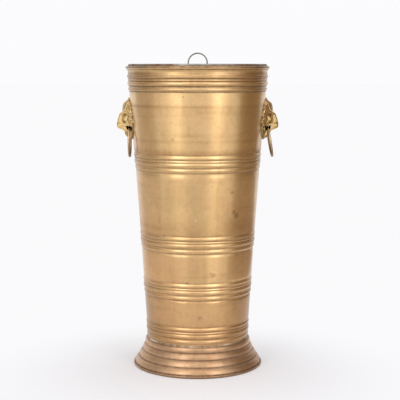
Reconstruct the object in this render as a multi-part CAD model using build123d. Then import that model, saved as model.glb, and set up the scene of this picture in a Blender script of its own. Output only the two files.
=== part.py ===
from build123d import *
import math
import os

# Umbrella stand of rolled and spun brass sheet, with a lift-out liner of galvanised steel.
# Millimetres. The origin is on the floor, on the axis of the stand. +Z is up, -Y is the front,
# and the two lion masks look out along -X and +X.

# Heights of the brass body, from the floor up
FOOT_HEIGHT = 46.3        # floor to the shoulder that the body stands on
NECK_RISE = 16.1          # shoulder to the neck beads
NECK_PANEL = 73.0         # neck beads to the lower beads
LOWER_PANEL = 76.8        # lower beads to the middle beads
MIDDLE_PANEL = 130.1      # middle beads to the upper beads
MASK_PANEL = 128.1        # upper beads to the rim beads, the panel that carries the masks
RIM_RISE = 28.2           # rim beads to the top of the rolled lip

# Radii of the brass body
NECK_RADIUS = 84.3        # outside of the wall at the shoulder
MOUTH_RADIUS = 114.8      # outside of the wall at the throat, under the lip
LIP_FLARE = 3.7           # throat out to the outermost point of the rolled lip
WALL_BOW = 1.5            # how far the wall bows in from a straight taper at half height
BRASS_SHEET = 1.0         # thickness of the body's sheet

# Rolled lip and the hollow moulding under it
LIP_ROLL_RADIUS = 2.6     # outside radius of the roll
THROAT_DROP = 15.6        # top of the lip to the throat
CAVETTO_DEPTH = 0.9       # depth of the hollow moulding
ROLL_FIT = 0.05           # gap between a wire and the sheet rolled round it
LIP_JOIN_ANGLE = -75.0    # where the wall runs into the roll, in degrees from level

# Beads swaged into the wall at each band: a wide one between two narrow ones, and a fine ridge
MAIN_BEAD_WIDTH = 7.6
MAIN_BEAD_RISE = 1.1
SIDE_BEAD_WIDTH = 6.2
SIDE_BEAD_RISE = 0.75
UPPER_BEAD_PITCH = 11.3   # main bead up to the narrow bead above it
LOWER_BEAD_PITCH = 9.0    # main bead down to the narrow bead below it
RIDGE_PITCH = 5.8         # main bead up to the fine ridge above it
RIDGE_WIDTH = 3.0
RIDGE_RISE = 0.45

# Spun foot: a spigot inside the body, a shoulder, four rounded steps and a rolled edge
FOOT_SHEET = 0.8          # thickness of the foot's sheet, measured across and down
FOOT_ROLL_RADIUS = 2.7    # outside radius of the rolled edge
FOOT_FLAT = 0.3           # how much of the roll is worn flat on the floor
FOOT_JOIN_ANGLE = 60.0    # where the flare runs into the roll, in degrees from level
COLLAR_LEDGE = 1.5        # width of the shoulder outside the body's wall
STEP_GROWTH = (2.4, 4.6, 6.4, 7.0)    # growth in radius over each step
STEP_BULGE = 1.1          # how far each step swells from a straight line
SPIGOT_RISE = 9.7         # shoulder to the top of the spigot
SPIGOT_GAP = 0.1          # gap between the spigot and the body
SOLDER_RISE = 2.9         # height of the solder fillet on the shoulder

# Base plate inside the body, on top of the spigot
BASE_SHEET = 1.2
BASE_GAP = 0.1            # gap between the plate's edge and the body
BASE_DISH = 1.5           # how far the middle is dished down
BASE_DISH_INSET = 12.0    # flat border of the plate

# Cast lion masks
MASK_WIDTH = 57.0
MASK_HEIGHT = 69.0
MASK_DROP = 57.9          # rim beads down to the middle of the mask
MASK_EDGE = 2.2           # thickness at the edge
MANE_SWELL = 2.6          # swell of the mane from the edge to the middle
MASK_SEAT_GAP = 0.05      # gap between the mask's back and the wall
MASK_GRID = 1.9           # spacing of the points that the modelled face is drawn through
MASK_FIT = 0.3            # how closely the drawn face keeps to those points
MANE_LOCKS = 14           # locks of the mane round the face
LOCK_RISE = 1.7           # height of the locks
LOCK_SCALLOP = 0.9        # how far the locks scallop the outline
HEAD_HALF_WIDTH = 18.5
HEAD_HALF_HEIGHT = 29.5
HEAD_LIFT = 3.5           # middle of the head above the middle of the mask
HEAD_RISE = 8.6           # how far the head stands up out of the mane
HEAD_ROUNDNESS = 0.85     # under 1 is a fuller dome with steeper sides
SNOUT_HALF_WIDTH = 5.0
MUZZLE_HALF_WIDTH = 9.6
MUZZLE_TOP = -6.0         # where the snout widens into the muzzle, from the middle of the mask
MUZZLE_SOFTNESS = 1.5     # how softly it widens
PROFILE_ROUNDING = 1.2    # how far the corners of the profile are rounded, along the wall

# Profile of the head along its middle, from the crown over the nose and the mouth to the beard:
# up from the middle of the mask, and height over the wall
HEAD_PROFILE = (
    (34.5, 1.6), (31.0, 3.0), (27.0, 9.6), (22.0, 12.3), (12.0, 14.6), (7.5, 19.0), (0.0, 23.2),
    (-8.0, 24.6), (-14.0, 24.0), (-17.2, 21.0), (-20.0, 13.8), (-26.0, 11.8), (-31.0, 8.0), (-34.5, 1.6),
)
# Forms modelled on each side of the face: across and up from the middle of the mask, spread
# across, spread up, rise, and how much a form climbs for each millimetre outwards
FACE_FORMS = {
    "brow": (8.0, 10.2, 3.8, 2.2, 3.0, 0.35),
    "eye_socket": (8.4, 5.2, 3.4, 2.2, -3.6, 0.35),
    "eyeball": (8.6, 4.9, 2.2, 1.3, 2.6, 0.35),
    "cheek": (13.0, -0.8, 3.8, 4.2, 4.6, 0.0),
    "ear": (17.5, 18.5, 3.2, 3.4, 4.6, 0.0),
    "nostril": (4.0, -8.6, 2.4, 2.4, 1.4, 0.0),
    "lip_pad": (5.6, -14.0, 3.0, 3.2, 2.8, 0.0),
}

# Rings in the lions' mouths
RING_RADIUS = 24.1        # to the middle of the wire
RING_WIRE = 1.9           # radius of the wire
RING_STANDOFF = 3.7       # wall to the middle of the wire, for the cuts beside the jaws
RING_DROP = 14.3          # middle of the mask down to the middle of the wire in the mouth
RING_SWING_IN = 4.0       # how far a ring swings in from hanging straight, in degrees
RIGHT_RING_TILT = 9.5     # how far out the right ring stands at rest, in degrees
LEFT_RING_SHIFT = 0.9     # how much further out than that the mouth on the left is drilled
RIGHT_RING_SHIFT = 4.0    # and the mouth on the right
MOUTH_GAP = 0.45          # clearance round the wire in the mouth
MOUTH_OVERRUN = 0.3       # how far the mouth runs into the cuts beside the jaw
JAW_HALF_WIDTH = 10.6     # the jaw that the ring hangs round

# Screws that hold the masks from inside the body
SCREW_RADIUS = 2.0
SCREW_DEPTH = 6.0         # length of the screw in the mask
SCREW_HOLE_GAP = 0.1
SCREW_HEAD_RADIUS = 3.6
SCREW_HEAD_HEIGHT = 1.7
SCREW_SLOT_WIDTH = 0.8
SCREW_SLOT_DEPTH = 0.7
WASHER_RADIUS = 4.4
WASHER_THICKNESS = 0.6
WASHER_LIFT = 0.12        # a flat washer bears on the hollow wall at two points
SCREW_HEIGHTS = (20.0, 0.5)     # heights of the two screws from the middle of the mask

# Liner
LINER_SHEET = 0.7
LINER_BEAD_RADIUS = 2.5   # outside radius of the rolled bead
LINER_BEAD_RISE = 3.4     # top of the bead above the top of the brass lip
LINER_SEAT_GAP = 0.3      # gap between the bead and the lip that carries it
LINER_FLOOR_GAP = 4.0     # base plate to the bottom edge of the liner
LINER_SIDE_GAP = 1.5      # body to the bottom edge of the liner
LINER_RECESS = 4.0        # height of the liner's floor above its bottom edge
LINER_FLANGE = 3.6        # depth of the flange turned down on the floor
LINER_FLOOR_FIT = 0.05

# Lifting loop at the back of the liner, in a clip riveted inside the wall
LOOP_WIRE = 1.2           # radius of the wire
LOOP_HALF_WIDTH = 16.5    # to the middle of the wire
LOOP_RISE = 23.4          # top of the loop above the top of the brass lip
LOOP_CORNER = 3.0         # radius of the two corners at the bar
LOOP_PIVOT_DROP = 10.6    # top of the brass lip down to the bar
LOOP_REST_GAP = 0.3       # gap between the loop and the bead and wall beside it
CLIP_SHEET = 0.8
CLIP_HALF_WIDTH = 9.0
CLIP_FIT = 0.08           # gap between the bar and the clip rolled round it
CLIP_LEAF = 18.0          # bar down to the end of the leaf
CLIP_SEAT_GAP = 0.05      # gap between the clip and the wall
RIVET_RADIUS = 1.3
RIVET_HEAD_RADIUS = 2.3
RIVET_HEAD_HEIGHT = 0.9
RIVET_HOLE_GAP = 0.05
RIVET_LIFT = 0.05         # gap between a rivet's head and what it holds
RIVET_SPACING = 10.0
RIVET_DROP = 11.5         # bar down to the rivets

# Places worked out from the sizes above
NECK_BEADS = FOOT_HEIGHT + NECK_RISE
LOWER_BEADS = NECK_BEADS + NECK_PANEL
MIDDLE_BEADS = LOWER_BEADS + LOWER_PANEL
UPPER_BEADS = MIDDLE_BEADS + MIDDLE_PANEL
RIM_BEADS = UPPER_BEADS + MASK_PANEL
BEAD_BANDS = (RIM_BEADS, UPPER_BEADS, MIDDLE_BEADS, LOWER_BEADS, NECK_BEADS)
LIP_TOP = RIM_BEADS + RIM_RISE
THROAT = LIP_TOP - THROAT_DROP
LIP_ROLL_R = MOUTH_RADIUS + LIP_FLARE - LIP_ROLL_RADIUS
LIP_ROLL_Z = LIP_TOP - LIP_ROLL_RADIUS
COLLAR_RADIUS = NECK_RADIUS + COLLAR_LEDGE
FOOT_REACH = FOOT_ROLL_RADIUS - FOOT_SHEET / 2
FOOT_ROLL_R = COLLAR_RADIUS + sum(STEP_GROWTH) - FOOT_REACH * math.cos(math.radians(FOOT_JOIN_ANGLE))
FOOT_ROLL_Z = FOOT_ROLL_RADIUS - FOOT_FLAT
SPIGOT_TOP = FOOT_HEIGHT + SPIGOT_RISE
BASE_TOP = SPIGOT_TOP + BASE_SHEET
MASK_Z = RIM_BEADS - MASK_DROP
RING_PIVOT_Z = MASK_Z - RING_DROP
MASK_WALL_LOW = UPPER_BEADS + UPPER_BEAD_PITCH + SIDE_BEAD_WIDTH / 2
MASK_WALL_HIGH = RIM_BEADS - LOWER_BEAD_PITCH - SIDE_BEAD_WIDTH / 2
LINER_BEAD_Z = LIP_TOP + LINER_BEAD_RISE - LINER_BEAD_RADIUS
LINER_BEAD_R = LIP_ROLL_R - math.sqrt(
    (LIP_ROLL_RADIUS + LINER_BEAD_RADIUS + LINER_SEAT_GAP) ** 2 - (LINER_BEAD_Z - LIP_ROLL_Z) ** 2
)
LINER_MOUTH_RADIUS = LINER_BEAD_R - LINER_BEAD_RADIUS + LINER_SHEET
LINER_BOTTOM = BASE_TOP + LINER_FLOOR_GAP
LOOP_PIVOT_Z = LIP_TOP - LOOP_PIVOT_DROP
CLIP_BARREL = LOOP_WIRE + CLIP_FIT + CLIP_SHEET


def wall_radius(z):
    """Outside radius of the brass wall at height z, without the beads."""
    share = (z - FOOT_HEIGHT) / (THROAT - FOOT_HEIGHT)
    straight = NECK_RADIUS + (MOUTH_RADIUS - NECK_RADIUS) * share
    return straight - WALL_BOW * 4.0 * share * (1.0 - share)


LINER_BOTTOM_RADIUS = wall_radius(LINER_BOTTOM) - BRASS_SHEET - LINER_SIDE_GAP


def mask_wall(z):
    """Outside radius of the straight panel of wall that carries the masks."""
    share = (z - MASK_WALL_LOW) / (MASK_WALL_HIGH - MASK_WALL_LOW)
    low = wall_radius(MASK_WALL_LOW)
    return low + (wall_radius(MASK_WALL_HIGH) - low) * share


def liner_radius(z):
    """Outside radius of the liner's wall at height z."""
    share = (z - LINER_BOTTOM) / (LINER_BEAD_Z - LINER_BOTTOM)
    return LINER_BOTTOM_RADIUS + (LINER_MOUTH_RADIUS - LINER_BOTTOM_RADIUS) * share


MASK_LEAN = math.degrees(math.atan2(mask_wall(1.0) - mask_wall(0.0), 1.0))
LINER_LEAN = math.degrees(math.atan2(liner_radius(1.0) - liner_radius(0.0), 1.0))
RING_PLACE = Vector(mask_wall(RING_PIVOT_Z) + RING_STANDOFF, 0.0, RING_PIVOT_Z)
LEFT_RING_PIVOT = RING_PLACE + Vector(LEFT_RING_SHIFT, 0.0, 0.0)
RIGHT_RING_PIVOT = RING_PLACE + Vector(RIGHT_RING_SHIFT, 0.0, 0.0)
RING_HINGE = (0.0, -1.0, 0.0)
RING_ROOM = RING_WIRE + MOUTH_GAP


def point(radius, z):
    """Point of a turned profile, in the plane of X and Z."""
    return Vector(radius, 0.0, z)


def turned(edges):
    """Solid of revolution about the stand's axis from a closed loop of edges."""
    return Solid.revolve(make_face(edges).face(), 360.0, Axis.Z)


def torus_ring(radius, z, wire):
    """Closed ring of round section about the stand's axis."""
    return Pos(0, 0, z) * Torus(radius, wire)


def sheet_profile(path, shift):
    """Closed loop between a path of edges and the same path moved by the sheet's thickness."""
    inner = [edge.moved(Location(shift)) for edge in path]
    start = path[0] @ 0
    end = path[-1] @ 1
    return path + inner + [Edge.make_line(start, start + shift), Edge.make_line(end, end + shift)]


def bead_edges(start, z, width, rise):
    """Wall line from a start point down to a bead, and the round bead itself."""
    top = point(wall_radius(z + width / 2), z + width / 2)
    crest = point(wall_radius(z) + rise, z)
    bottom = point(wall_radius(z - width / 2), z - width / 2)
    return [Edge.make_line(start, top), Edge.make_three_point_arc(top, crest, bottom)]


def wall_plane(angle, z, radius, lean):
    """Plane on a wall at an angle round the axis, with its normal square out of the leaning wall."""
    turn = math.radians(angle)
    tilt = math.radians(lean)
    out = Vector(math.cos(turn) * math.cos(tilt), math.sin(turn) * math.cos(tilt), -math.sin(tilt))
    along = Vector(-math.sin(turn), math.cos(turn), 0.0)
    place = Vector(radius * math.cos(turn), radius * math.sin(turn), z)
    return Plane(origin=place, x_dir=along, z_dir=out)


def rod(radius, start, end):
    """Round bar along Z between two heights."""
    return Pos(0, 0, (start + end) / 2) * Cylinder(radius, end - start)


def mask_side(shape, side):
    """Piece made for the right side, turned over to the left side where that is asked for."""
    return mirror(shape, about=Plane.YZ) if side < 0 else shape


# Body: one rolled and swaged sheet, with its lip rolled over a wire
def body_path():
    roll_centre = point(LIP_ROLL_R, LIP_ROLL_Z)
    join = math.radians(LIP_JOIN_ANGLE)
    reach = LIP_ROLL_RADIUS - BRASS_SHEET / 2
    lip = roll_centre + Vector(math.cos(join), 0.0, math.sin(join)) * reach
    throat = point(wall_radius(THROAT), THROAT)
    hollow = (lip + throat) * 0.5 - Vector(CAVETTO_DEPTH, 0.0, 0.0)
    path = [Edge.make_three_point_arc(lip, hollow, throat)]
    for band in BEAD_BANDS:
        beads = (
            (band + UPPER_BEAD_PITCH, SIDE_BEAD_WIDTH, SIDE_BEAD_RISE),
            (band + RIDGE_PITCH, RIDGE_WIDTH, RIDGE_RISE),
            (band, MAIN_BEAD_WIDTH, MAIN_BEAD_RISE),
            (band - LOWER_BEAD_PITCH, SIDE_BEAD_WIDTH, SIDE_BEAD_RISE),
        )
        for z, width, rise in beads:
            path += bead_edges(path[-1] @ 1, z, width, rise)
    path.append(Edge.make_line(path[-1] @ 1, point(NECK_RADIUS, FOOT_HEIGHT)))
    return path


def mask_screw_planes():
    heights = [MASK_Z + height for height in SCREW_HEIGHTS]
    return [wall_plane(0.0, z, mask_wall(z), MASK_LEAN) for z in heights]


def body_shell():
    body = turned(sheet_profile(body_path(), Vector(-BRASS_SHEET, 0.0, 0.0)))
    body = body + torus_ring(LIP_ROLL_R, LIP_ROLL_Z, LIP_ROLL_RADIUS)
    body = body - torus_ring(LIP_ROLL_R, LIP_ROLL_Z, LIP_ROLL_RADIUS - BRASS_SHEET)
    for plane in mask_screw_planes():
        hole = plane * rod(SCREW_RADIUS + SCREW_HOLE_GAP, -3 * BRASS_SHEET, 3 * BRASS_SHEET)
        body = body - hole - mask_side(hole, -1)
    return body


# Foot: spun from one disc, with its bottom edge rolled over a wire
def foot_path():
    spigot = NECK_RADIUS - BRASS_SHEET - SPIGOT_GAP
    low = FOOT_ROLL_Z + FOOT_REACH * math.sin(math.radians(FOOT_JOIN_ANGLE))
    step = (FOOT_HEIGHT - low) / len(STEP_GROWTH)
    creases = [point(COLLAR_RADIUS, FOOT_HEIGHT)]
    for growth in STEP_GROWTH:
        creases.append(creases[-1] + Vector(growth, 0.0, -step))
    path = [
        Edge.make_line(point(spigot, SPIGOT_TOP), point(spigot, FOOT_HEIGHT)),
        Edge.make_line(point(spigot, FOOT_HEIGHT), creases[0]),
    ]
    for upper, lower in zip(creases, creases[1:]):
        run = lower - upper
        swell = Vector(-run.Z, 0.0, run.X).normalized() * STEP_BULGE
        path.append(Edge.make_three_point_arc(upper, (upper + lower) * 0.5 + swell, lower))
    return path


def foot_skirt():
    foot = turned(sheet_profile(foot_path(), Vector(-FOOT_SHEET, 0.0, -FOOT_SHEET)))
    foot = foot + torus_ring(FOOT_ROLL_R, FOOT_ROLL_Z, FOOT_ROLL_RADIUS)
    foot = foot - torus_ring(FOOT_ROLL_R, FOOT_ROLL_Z, FOOT_ROLL_RADIUS - FOOT_SHEET)
    floor = Pos(0, 0, -FOOT_ROLL_RADIUS) * Cylinder(2 * FOOT_ROLL_R, 2 * FOOT_ROLL_RADIUS)
    return foot - floor


def neck_solder():
    """Fillet of solder round the body's lower edge, on the foot's shoulder."""
    top = FOOT_HEIGHT + SOLDER_RISE
    low = point(NECK_RADIUS + ROLL_FIT, FOOT_HEIGHT)
    out = point(COLLAR_RADIUS, FOOT_HEIGHT)
    high = point(wall_radius(top) + ROLL_FIT, top)
    return turned([Edge.make_line(low, out), Edge.make_line(out, high), Edge.make_line(high, low)])


def base_plate():
    """Shallow dished disc that closes the bottom of the body."""
    rim = wall_radius(SPIGOT_TOP) - BRASS_SHEET - BASE_GAP
    border = rim - BASE_DISH_INSET
    path = [
        Edge.make_line(point(rim, BASE_TOP), point(border, BASE_TOP)),
        Edge.make_line(point(border, BASE_TOP), point(border - BASE_DISH, BASE_TOP - BASE_DISH)),
        Edge.make_line(point(border - BASE_DISH, BASE_TOP - BASE_DISH), point(0.0, BASE_TOP - BASE_DISH)),
    ]
    return turned(sheet_profile(path, Vector(0.0, 0.0, -BASE_SHEET)))


# Lion masks, made for the right side and turned over for the left
def outline_radius(turn):
    """Radius of the plain outline at an angle from straight up, before the locks scallop it."""
    across = MASK_WIDTH / 2 - LOCK_SCALLOP
    upright = MASK_HEIGHT / 2 - LOCK_SCALLOP
    return math.hypot(upright * math.cos(turn), across * math.sin(turn))


def soft_step(value):
    return 0.5 + 0.5 * math.tanh(0.5 * value)


def middle_line(v):
    """Height of the head along its middle, by straight runs between the points of its profile."""
    for (upper, high), (lower, low) in zip(HEAD_PROFILE, HEAD_PROFILE[1:]):
        if v >= lower:
            return low + (high - low) * min((v - lower) / (upper - lower), 1.0)
    return HEAD_PROFILE[-1][1]


def rounded_profile(v):
    """The middle line with its corners rounded."""
    heights = [middle_line(v + PROFILE_ROUNDING * share) for share in (-1.0, -0.33, 0.33, 1.0)]
    return sum(heights) / len(heights)


def head_dome(u, v):
    """Height of the mane and of the rounded head, without the snout and the forms of the face."""
    turn = math.atan2(u, v)
    share = min(math.hypot(u, v) / outline_radius(turn), 1.0)
    mane = MANE_SWELL * (1.0 - share ** 2)
    locks = LOCK_RISE * (0.5 + 0.5 * math.cos(MANE_LOCKS * turn)) * share ** 3
    oval = min((u / HEAD_HALF_WIDTH) ** 2 + ((v - HEAD_LIFT) / HEAD_HALF_HEIGHT) ** 2, 1.0)
    return MASK_EDGE + mane + locks + HEAD_RISE * (1.0 - oval) ** HEAD_ROUNDNESS


def face_height(u, v):
    """Height that the paired forms of the face add."""
    total = 0.0
    for across, up, wide, tall, rise, climb in FACE_FORMS.values():
        level = up + climb * (abs(u) - across)
        for place in (across, -across):
            total += rise * math.exp(-0.5 * (((u - place) / wide) ** 2 + ((v - level) / tall) ** 2))
    return total


def mask_height(u, v):
    """Height of the modelled mask above the wall at a place across and up from its middle."""
    widening = soft_step((MUZZLE_TOP - v) / MUZZLE_SOFTNESS)
    half_width = SNOUT_HALF_WIDTH + (MUZZLE_HALF_WIDTH - SNOUT_HALF_WIDTH) * widening
    snout = (rounded_profile(v) - head_dome(0.0, v)) * math.exp(-abs(u / half_width) ** 3)
    return head_dome(u, v) + snout + face_height(u, v)


def mask_surface():
    """Modelled front of a mask, drawn a little past its outline."""
    columns = math.ceil((MASK_WIDTH / 2 + MASK_GRID) / MASK_GRID)
    rows = math.ceil((MASK_HEIGHT / 2 + MASK_GRID) / MASK_GRID)
    points = []
    for row in range(-rows, rows + 1):
        v = row * MASK_GRID
        line = []
        for column in range(-columns, columns + 1):
            u = column * MASK_GRID
            wall = math.sqrt(mask_wall(MASK_Z + v) ** 2 - u ** 2)
            line.append(Vector(wall + mask_height(u, v), u, MASK_Z + v))
        points.append(line)
    return Face.make_surface_from_array_of_points(points, tol=MASK_FIT, min_deg=3, max_deg=3)


def mask_outline():
    """Scalloped outline of a mask, as an upright face on the stand's axis."""
    count = 2 * MANE_LOCKS
    points = []
    for index in range(count):
        turn = 2.0 * math.pi * index / count
        radius = outline_radius(turn) + LOCK_SCALLOP * math.cos(MANE_LOCKS * turn)
        points.append(Vector(0.0, radius * math.sin(turn), MASK_Z + radius * math.cos(turn)))
    return make_face(Edge.make_spline(points, periodic=True)).face()


def mouth_passage(pivot):
    """Waisted hole across the mouth, turned about the line that a ring swings on."""
    width = JAW_HALF_WIDTH + MOUTH_OVERRUN
    flare = RING_RADIUS - math.sqrt((RING_RADIUS - RING_ROOM) ** 2 - width ** 2) + MOUTH_GAP
    side = Vector(0.0, width, 0.0)
    waist = pivot + Vector(0.0, 0.0, RING_ROOM)
    corner = pivot + Vector(0.0, 0.0, flare)
    outline = [
        Edge.make_three_point_arc(corner - side, waist, corner + side),
        Edge.make_line(corner + side, pivot + side),
        Edge.make_line(pivot + side, pivot - side),
        Edge.make_line(pivot - side, corner - side),
    ]
    return Solid.revolve(make_face(outline).face(), 360.0, Axis(pivot, RING_HINGE))


def jaw_side(side):
    """Block cut away beside the jaw, where a leg of a ring hangs and swings."""
    reach = MASK_WIDTH
    inner = RING_PLACE.X - RING_ROOM
    outer = inner + reach
    top = RING_PLACE.Z + RING_ROOM
    low = top - reach
    lean = reach * math.tan(math.radians(RING_SWING_IN))
    jaw = side * JAW_HALF_WIDTH
    corners = [(inner, jaw, top), (outer, jaw, top), (outer, jaw, low), (inner - lean, jaw, low)]
    return Solid.extrude(Face(Wire.make_polygon(corners)), Vector(0.0, side * reach, 0.0))


def right_lion_mask(pivot):
    """Casting with its mouth drilled for a ring, as made for the right side."""
    depth = 2 * MOUTH_RADIUS
    modelled = Solid.extrude(mask_surface(), Vector(-depth / 4, 0.0, 0.0))
    blank = Solid.extrude(mask_outline(), Vector(depth, 0.0, 0.0))
    low = MASK_Z - MASK_HEIGHT
    high = MASK_Z + MASK_HEIGHT
    seat = Pos(0, 0, MASK_Z) * Cone(
        mask_wall(low) + MASK_SEAT_GAP, mask_wall(high) + MASK_SEAT_GAP, high - low)
    mask = (modelled & blank) - seat - mouth_passage(pivot) - jaw_side(-1) - jaw_side(1)
    for plane in mask_screw_planes():
        mask = mask - plane * rod(SCREW_RADIUS + ROLL_FIT, -SCREW_DEPTH, SCREW_DEPTH + SCREW_HOLE_GAP)
    return max(mask.solids(), key=lambda solid: solid.volume)


def right_mask_screws():
    screws = []
    head_top = -BRASS_SHEET - WASHER_THICKNESS - 2 * WASHER_LIFT
    head_low = head_top - SCREW_HEAD_HEIGHT
    for plane in mask_screw_planes():
        screw = rod(SCREW_RADIUS, head_top, SCREW_DEPTH) + rod(SCREW_HEAD_RADIUS, head_low, head_top)
        slot = Pos(0, 0, head_low) * Box(3 * SCREW_HEAD_RADIUS, SCREW_SLOT_WIDTH, 2 * SCREW_SLOT_DEPTH)
        screws.append(plane * (screw - slot))
    return screws


def right_mask_washers():
    top = -BRASS_SHEET - WASHER_LIFT
    low = top - WASHER_THICKNESS
    hole = SCREW_RADIUS + SCREW_HOLE_GAP
    washer = rod(WASHER_RADIUS, low, top) - rod(hole, low - WASHER_THICKNESS, top + WASHER_THICKNESS)
    return [plane * washer for plane in mask_screw_planes()]


def right_ring(pivot, tilt):
    centre = pivot - Vector(0.0, 0.0, RING_RADIUS)
    hoop_plane = Plane(origin=centre, x_dir=(0.0, 1.0, 0.0), z_dir=(1.0, 0.0, 0.0))
    return (hoop_plane * Torus(RING_RADIUS, RING_WIRE)).rotate(Axis(pivot, RING_HINGE), tilt)


# Liner: a tapered steel can that hangs by its rolled bead on the brass lip
def rivet_planes():
    z = LOOP_PIVOT_Z - RIVET_DROP
    spread = math.degrees(math.asin(RIVET_SPACING / 2 / liner_radius(z)))
    return [wall_plane(90.0 + side * spread, z, liner_radius(z), LINER_LEAN) for side in (-1, 1)]


def rivet_hole():
    length = 2 * (LINER_SHEET + CLIP_SHEET)
    return rod(RIVET_RADIUS + RIVET_HOLE_GAP, -length, length)


def liner_shell():
    path = [Edge.make_line(point(LINER_MOUTH_RADIUS, LINER_BEAD_Z), point(LINER_BOTTOM_RADIUS, LINER_BOTTOM))]
    shell = turned(sheet_profile(path, Vector(-LINER_SHEET, 0.0, 0.0)))
    shell = shell + torus_ring(LINER_BEAD_R, LINER_BEAD_Z, LINER_BEAD_RADIUS)
    shell = shell - torus_ring(LINER_BEAD_R, LINER_BEAD_Z, LINER_BEAD_RADIUS - LINER_SHEET)
    for plane in rivet_planes():
        shell = shell - plane * rivet_hole()
    return shell


def liner_bottom():
    """Disc with a turned-down flange, soldered inside the liner's wall."""
    floor = LINER_BOTTOM + LINER_RECESS
    edge = LINER_BOTTOM_RADIUS - LINER_SHEET - LINER_FLOOR_FIT
    path = [
        Edge.make_line(point(0.0, floor), point(edge, floor)),
        Edge.make_line(point(edge, floor), point(edge, floor - LINER_FLANGE)),
    ]
    inner = edge - LINER_SHEET
    inside = floor - LINER_SHEET
    back = [
        Edge.make_line(point(edge, floor - LINER_FLANGE), point(inner, floor - LINER_FLANGE)),
        Edge.make_line(point(inner, floor - LINER_FLANGE), point(inner, inside)),
        Edge.make_line(point(inner, inside), point(0.0, inside)),
        Edge.make_line(point(0.0, inside), point(0.0, floor)),
    ]
    return turned(path + back)


def clip_inner_wall(z):
    return liner_radius(z) - LINER_SHEET - CLIP_SEAT_GAP


def loop_pivot():
    """Middle of the loop's bar: as close to the wall as the clip's barrel and the loop's legs allow."""
    wall = clip_inner_wall(LOOP_PIVOT_Z)
    barrel_limit = math.sqrt(wall ** 2 - CLIP_HALF_WIDTH ** 2) - CLIP_BARREL
    leg_limit = math.sqrt((wall - LOOP_WIRE - LOOP_REST_GAP) ** 2 - LOOP_HALF_WIDTH ** 2)
    return Vector(0.0, min(barrel_limit, leg_limit), LOOP_PIVOT_Z)


def loop_clip():
    """Strap rolled round the loop's bar, with a leaf that follows the liner's wall."""
    pivot = loop_pivot()
    half_angle = math.degrees(math.asin(CLIP_HALF_WIDTH / clip_inner_wall(LOOP_PIVOT_Z)))
    top = LOOP_PIVOT_Z
    low = LOOP_PIVOT_Z - CLIP_LEAF
    leaf_path = [Edge.make_line(point(clip_inner_wall(top), top), point(clip_inner_wall(low), low))]
    leaf_face = make_face(sheet_profile(leaf_path, Vector(-CLIP_SHEET, 0.0, 0.0))).face()
    leaf = Rot(0, 0, 90.0 - half_angle) * Solid.revolve(leaf_face, 2 * half_angle, Axis.Z)
    barrel_plane = Plane(origin=pivot, x_dir=(0.0, 1.0, 0.0), z_dir=(1.0, 0.0, 0.0))
    clip = leaf + barrel_plane * Cylinder(CLIP_BARREL, 2 * CLIP_HALF_WIDTH)
    clip = clip - barrel_plane * Cylinder(LOOP_WIRE + CLIP_FIT, 4 * CLIP_HALF_WIDTH)
    for plane in rivet_planes():
        clip = clip - plane * rivet_hole()
    return clip


def clip_rivets():
    outer = RIVET_LIFT
    inner = -LINER_SHEET - CLIP_SEAT_GAP - CLIP_SHEET - 2 * RIVET_LIFT
    shank = rod(RIVET_RADIUS, inner - RIVET_HEAD_HEIGHT / 2, outer + RIVET_HEAD_HEIGHT / 2)
    tail = rod(RIVET_HEAD_RADIUS, outer, outer + RIVET_HEAD_HEIGHT)
    head = rod(RIVET_HEAD_RADIUS, inner - RIVET_HEAD_HEIGHT, inner)
    head = fillet(head.edges().group_by(Axis.Z)[0], RIVET_HEAD_HEIGHT * 0.8)
    return [plane * (shank + tail + head) for plane in rivet_planes()]


def lift_loop():
    """D-shaped wire loop: a bar in the clip, two legs and a half-round top, leaning on the bead."""
    pivot = loop_pivot()
    across = math.sqrt(LINER_BEAD_R ** 2 - LOOP_HALF_WIDTH ** 2) - pivot.Y
    up = LINER_BEAD_Z - pivot.Z
    touch = LINER_BEAD_RADIUS + LOOP_WIRE + LOOP_REST_GAP
    lean = math.atan2(across, up) - math.asin(touch / math.hypot(across, up))
    reach = (LIP_TOP + LOOP_RISE - LOOP_WIRE - pivot.Z) / math.cos(lean)
    plane = Plane(origin=pivot, x_dir=(1.0, 0.0, 0.0), z_dir=(0.0, -math.cos(lean), math.sin(lean)))
    leg_top = reach - LOOP_HALF_WIDTH
    bar = LOOP_HALF_WIDTH - LOOP_CORNER
    diagonal = LOOP_CORNER * (1.0 - math.sqrt(0.5))
    left_corner = (-LOOP_HALF_WIDTH + diagonal, diagonal)
    right_corner = (LOOP_HALF_WIDTH - diagonal, diagonal)
    path = Wire([
        Edge.make_line((0, 0), (bar, 0)),
        Edge.make_three_point_arc((bar, 0), right_corner, (LOOP_HALF_WIDTH, LOOP_CORNER)),
        Edge.make_line((LOOP_HALF_WIDTH, LOOP_CORNER), (LOOP_HALF_WIDTH, leg_top)),
        Edge.make_three_point_arc((LOOP_HALF_WIDTH, leg_top), (0, reach), (-LOOP_HALF_WIDTH, leg_top)),
        Edge.make_line((-LOOP_HALF_WIDTH, leg_top), (-LOOP_HALF_WIDTH, LOOP_CORNER)),
        Edge.make_three_point_arc((-LOOP_HALF_WIDTH, LOOP_CORNER), left_corner, (-bar, 0)),
        Edge.make_line((-bar, 0), (0, 0)),
    ])
    section = Plane.YZ * Circle(LOOP_WIRE)
    return plane * sweep(section, path=path)


def save(name, shapes):
    """Write one node, as a group of solids where it has more than one."""
    solids = shapes if isinstance(shapes, list) else [shapes]
    body = Compound(children=[solid for shape in solids for solid in shape.solids()])
    export_step(body, os.path.join("parts", name + ".step"))


os.makedirs("parts", exist_ok=True)

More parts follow.
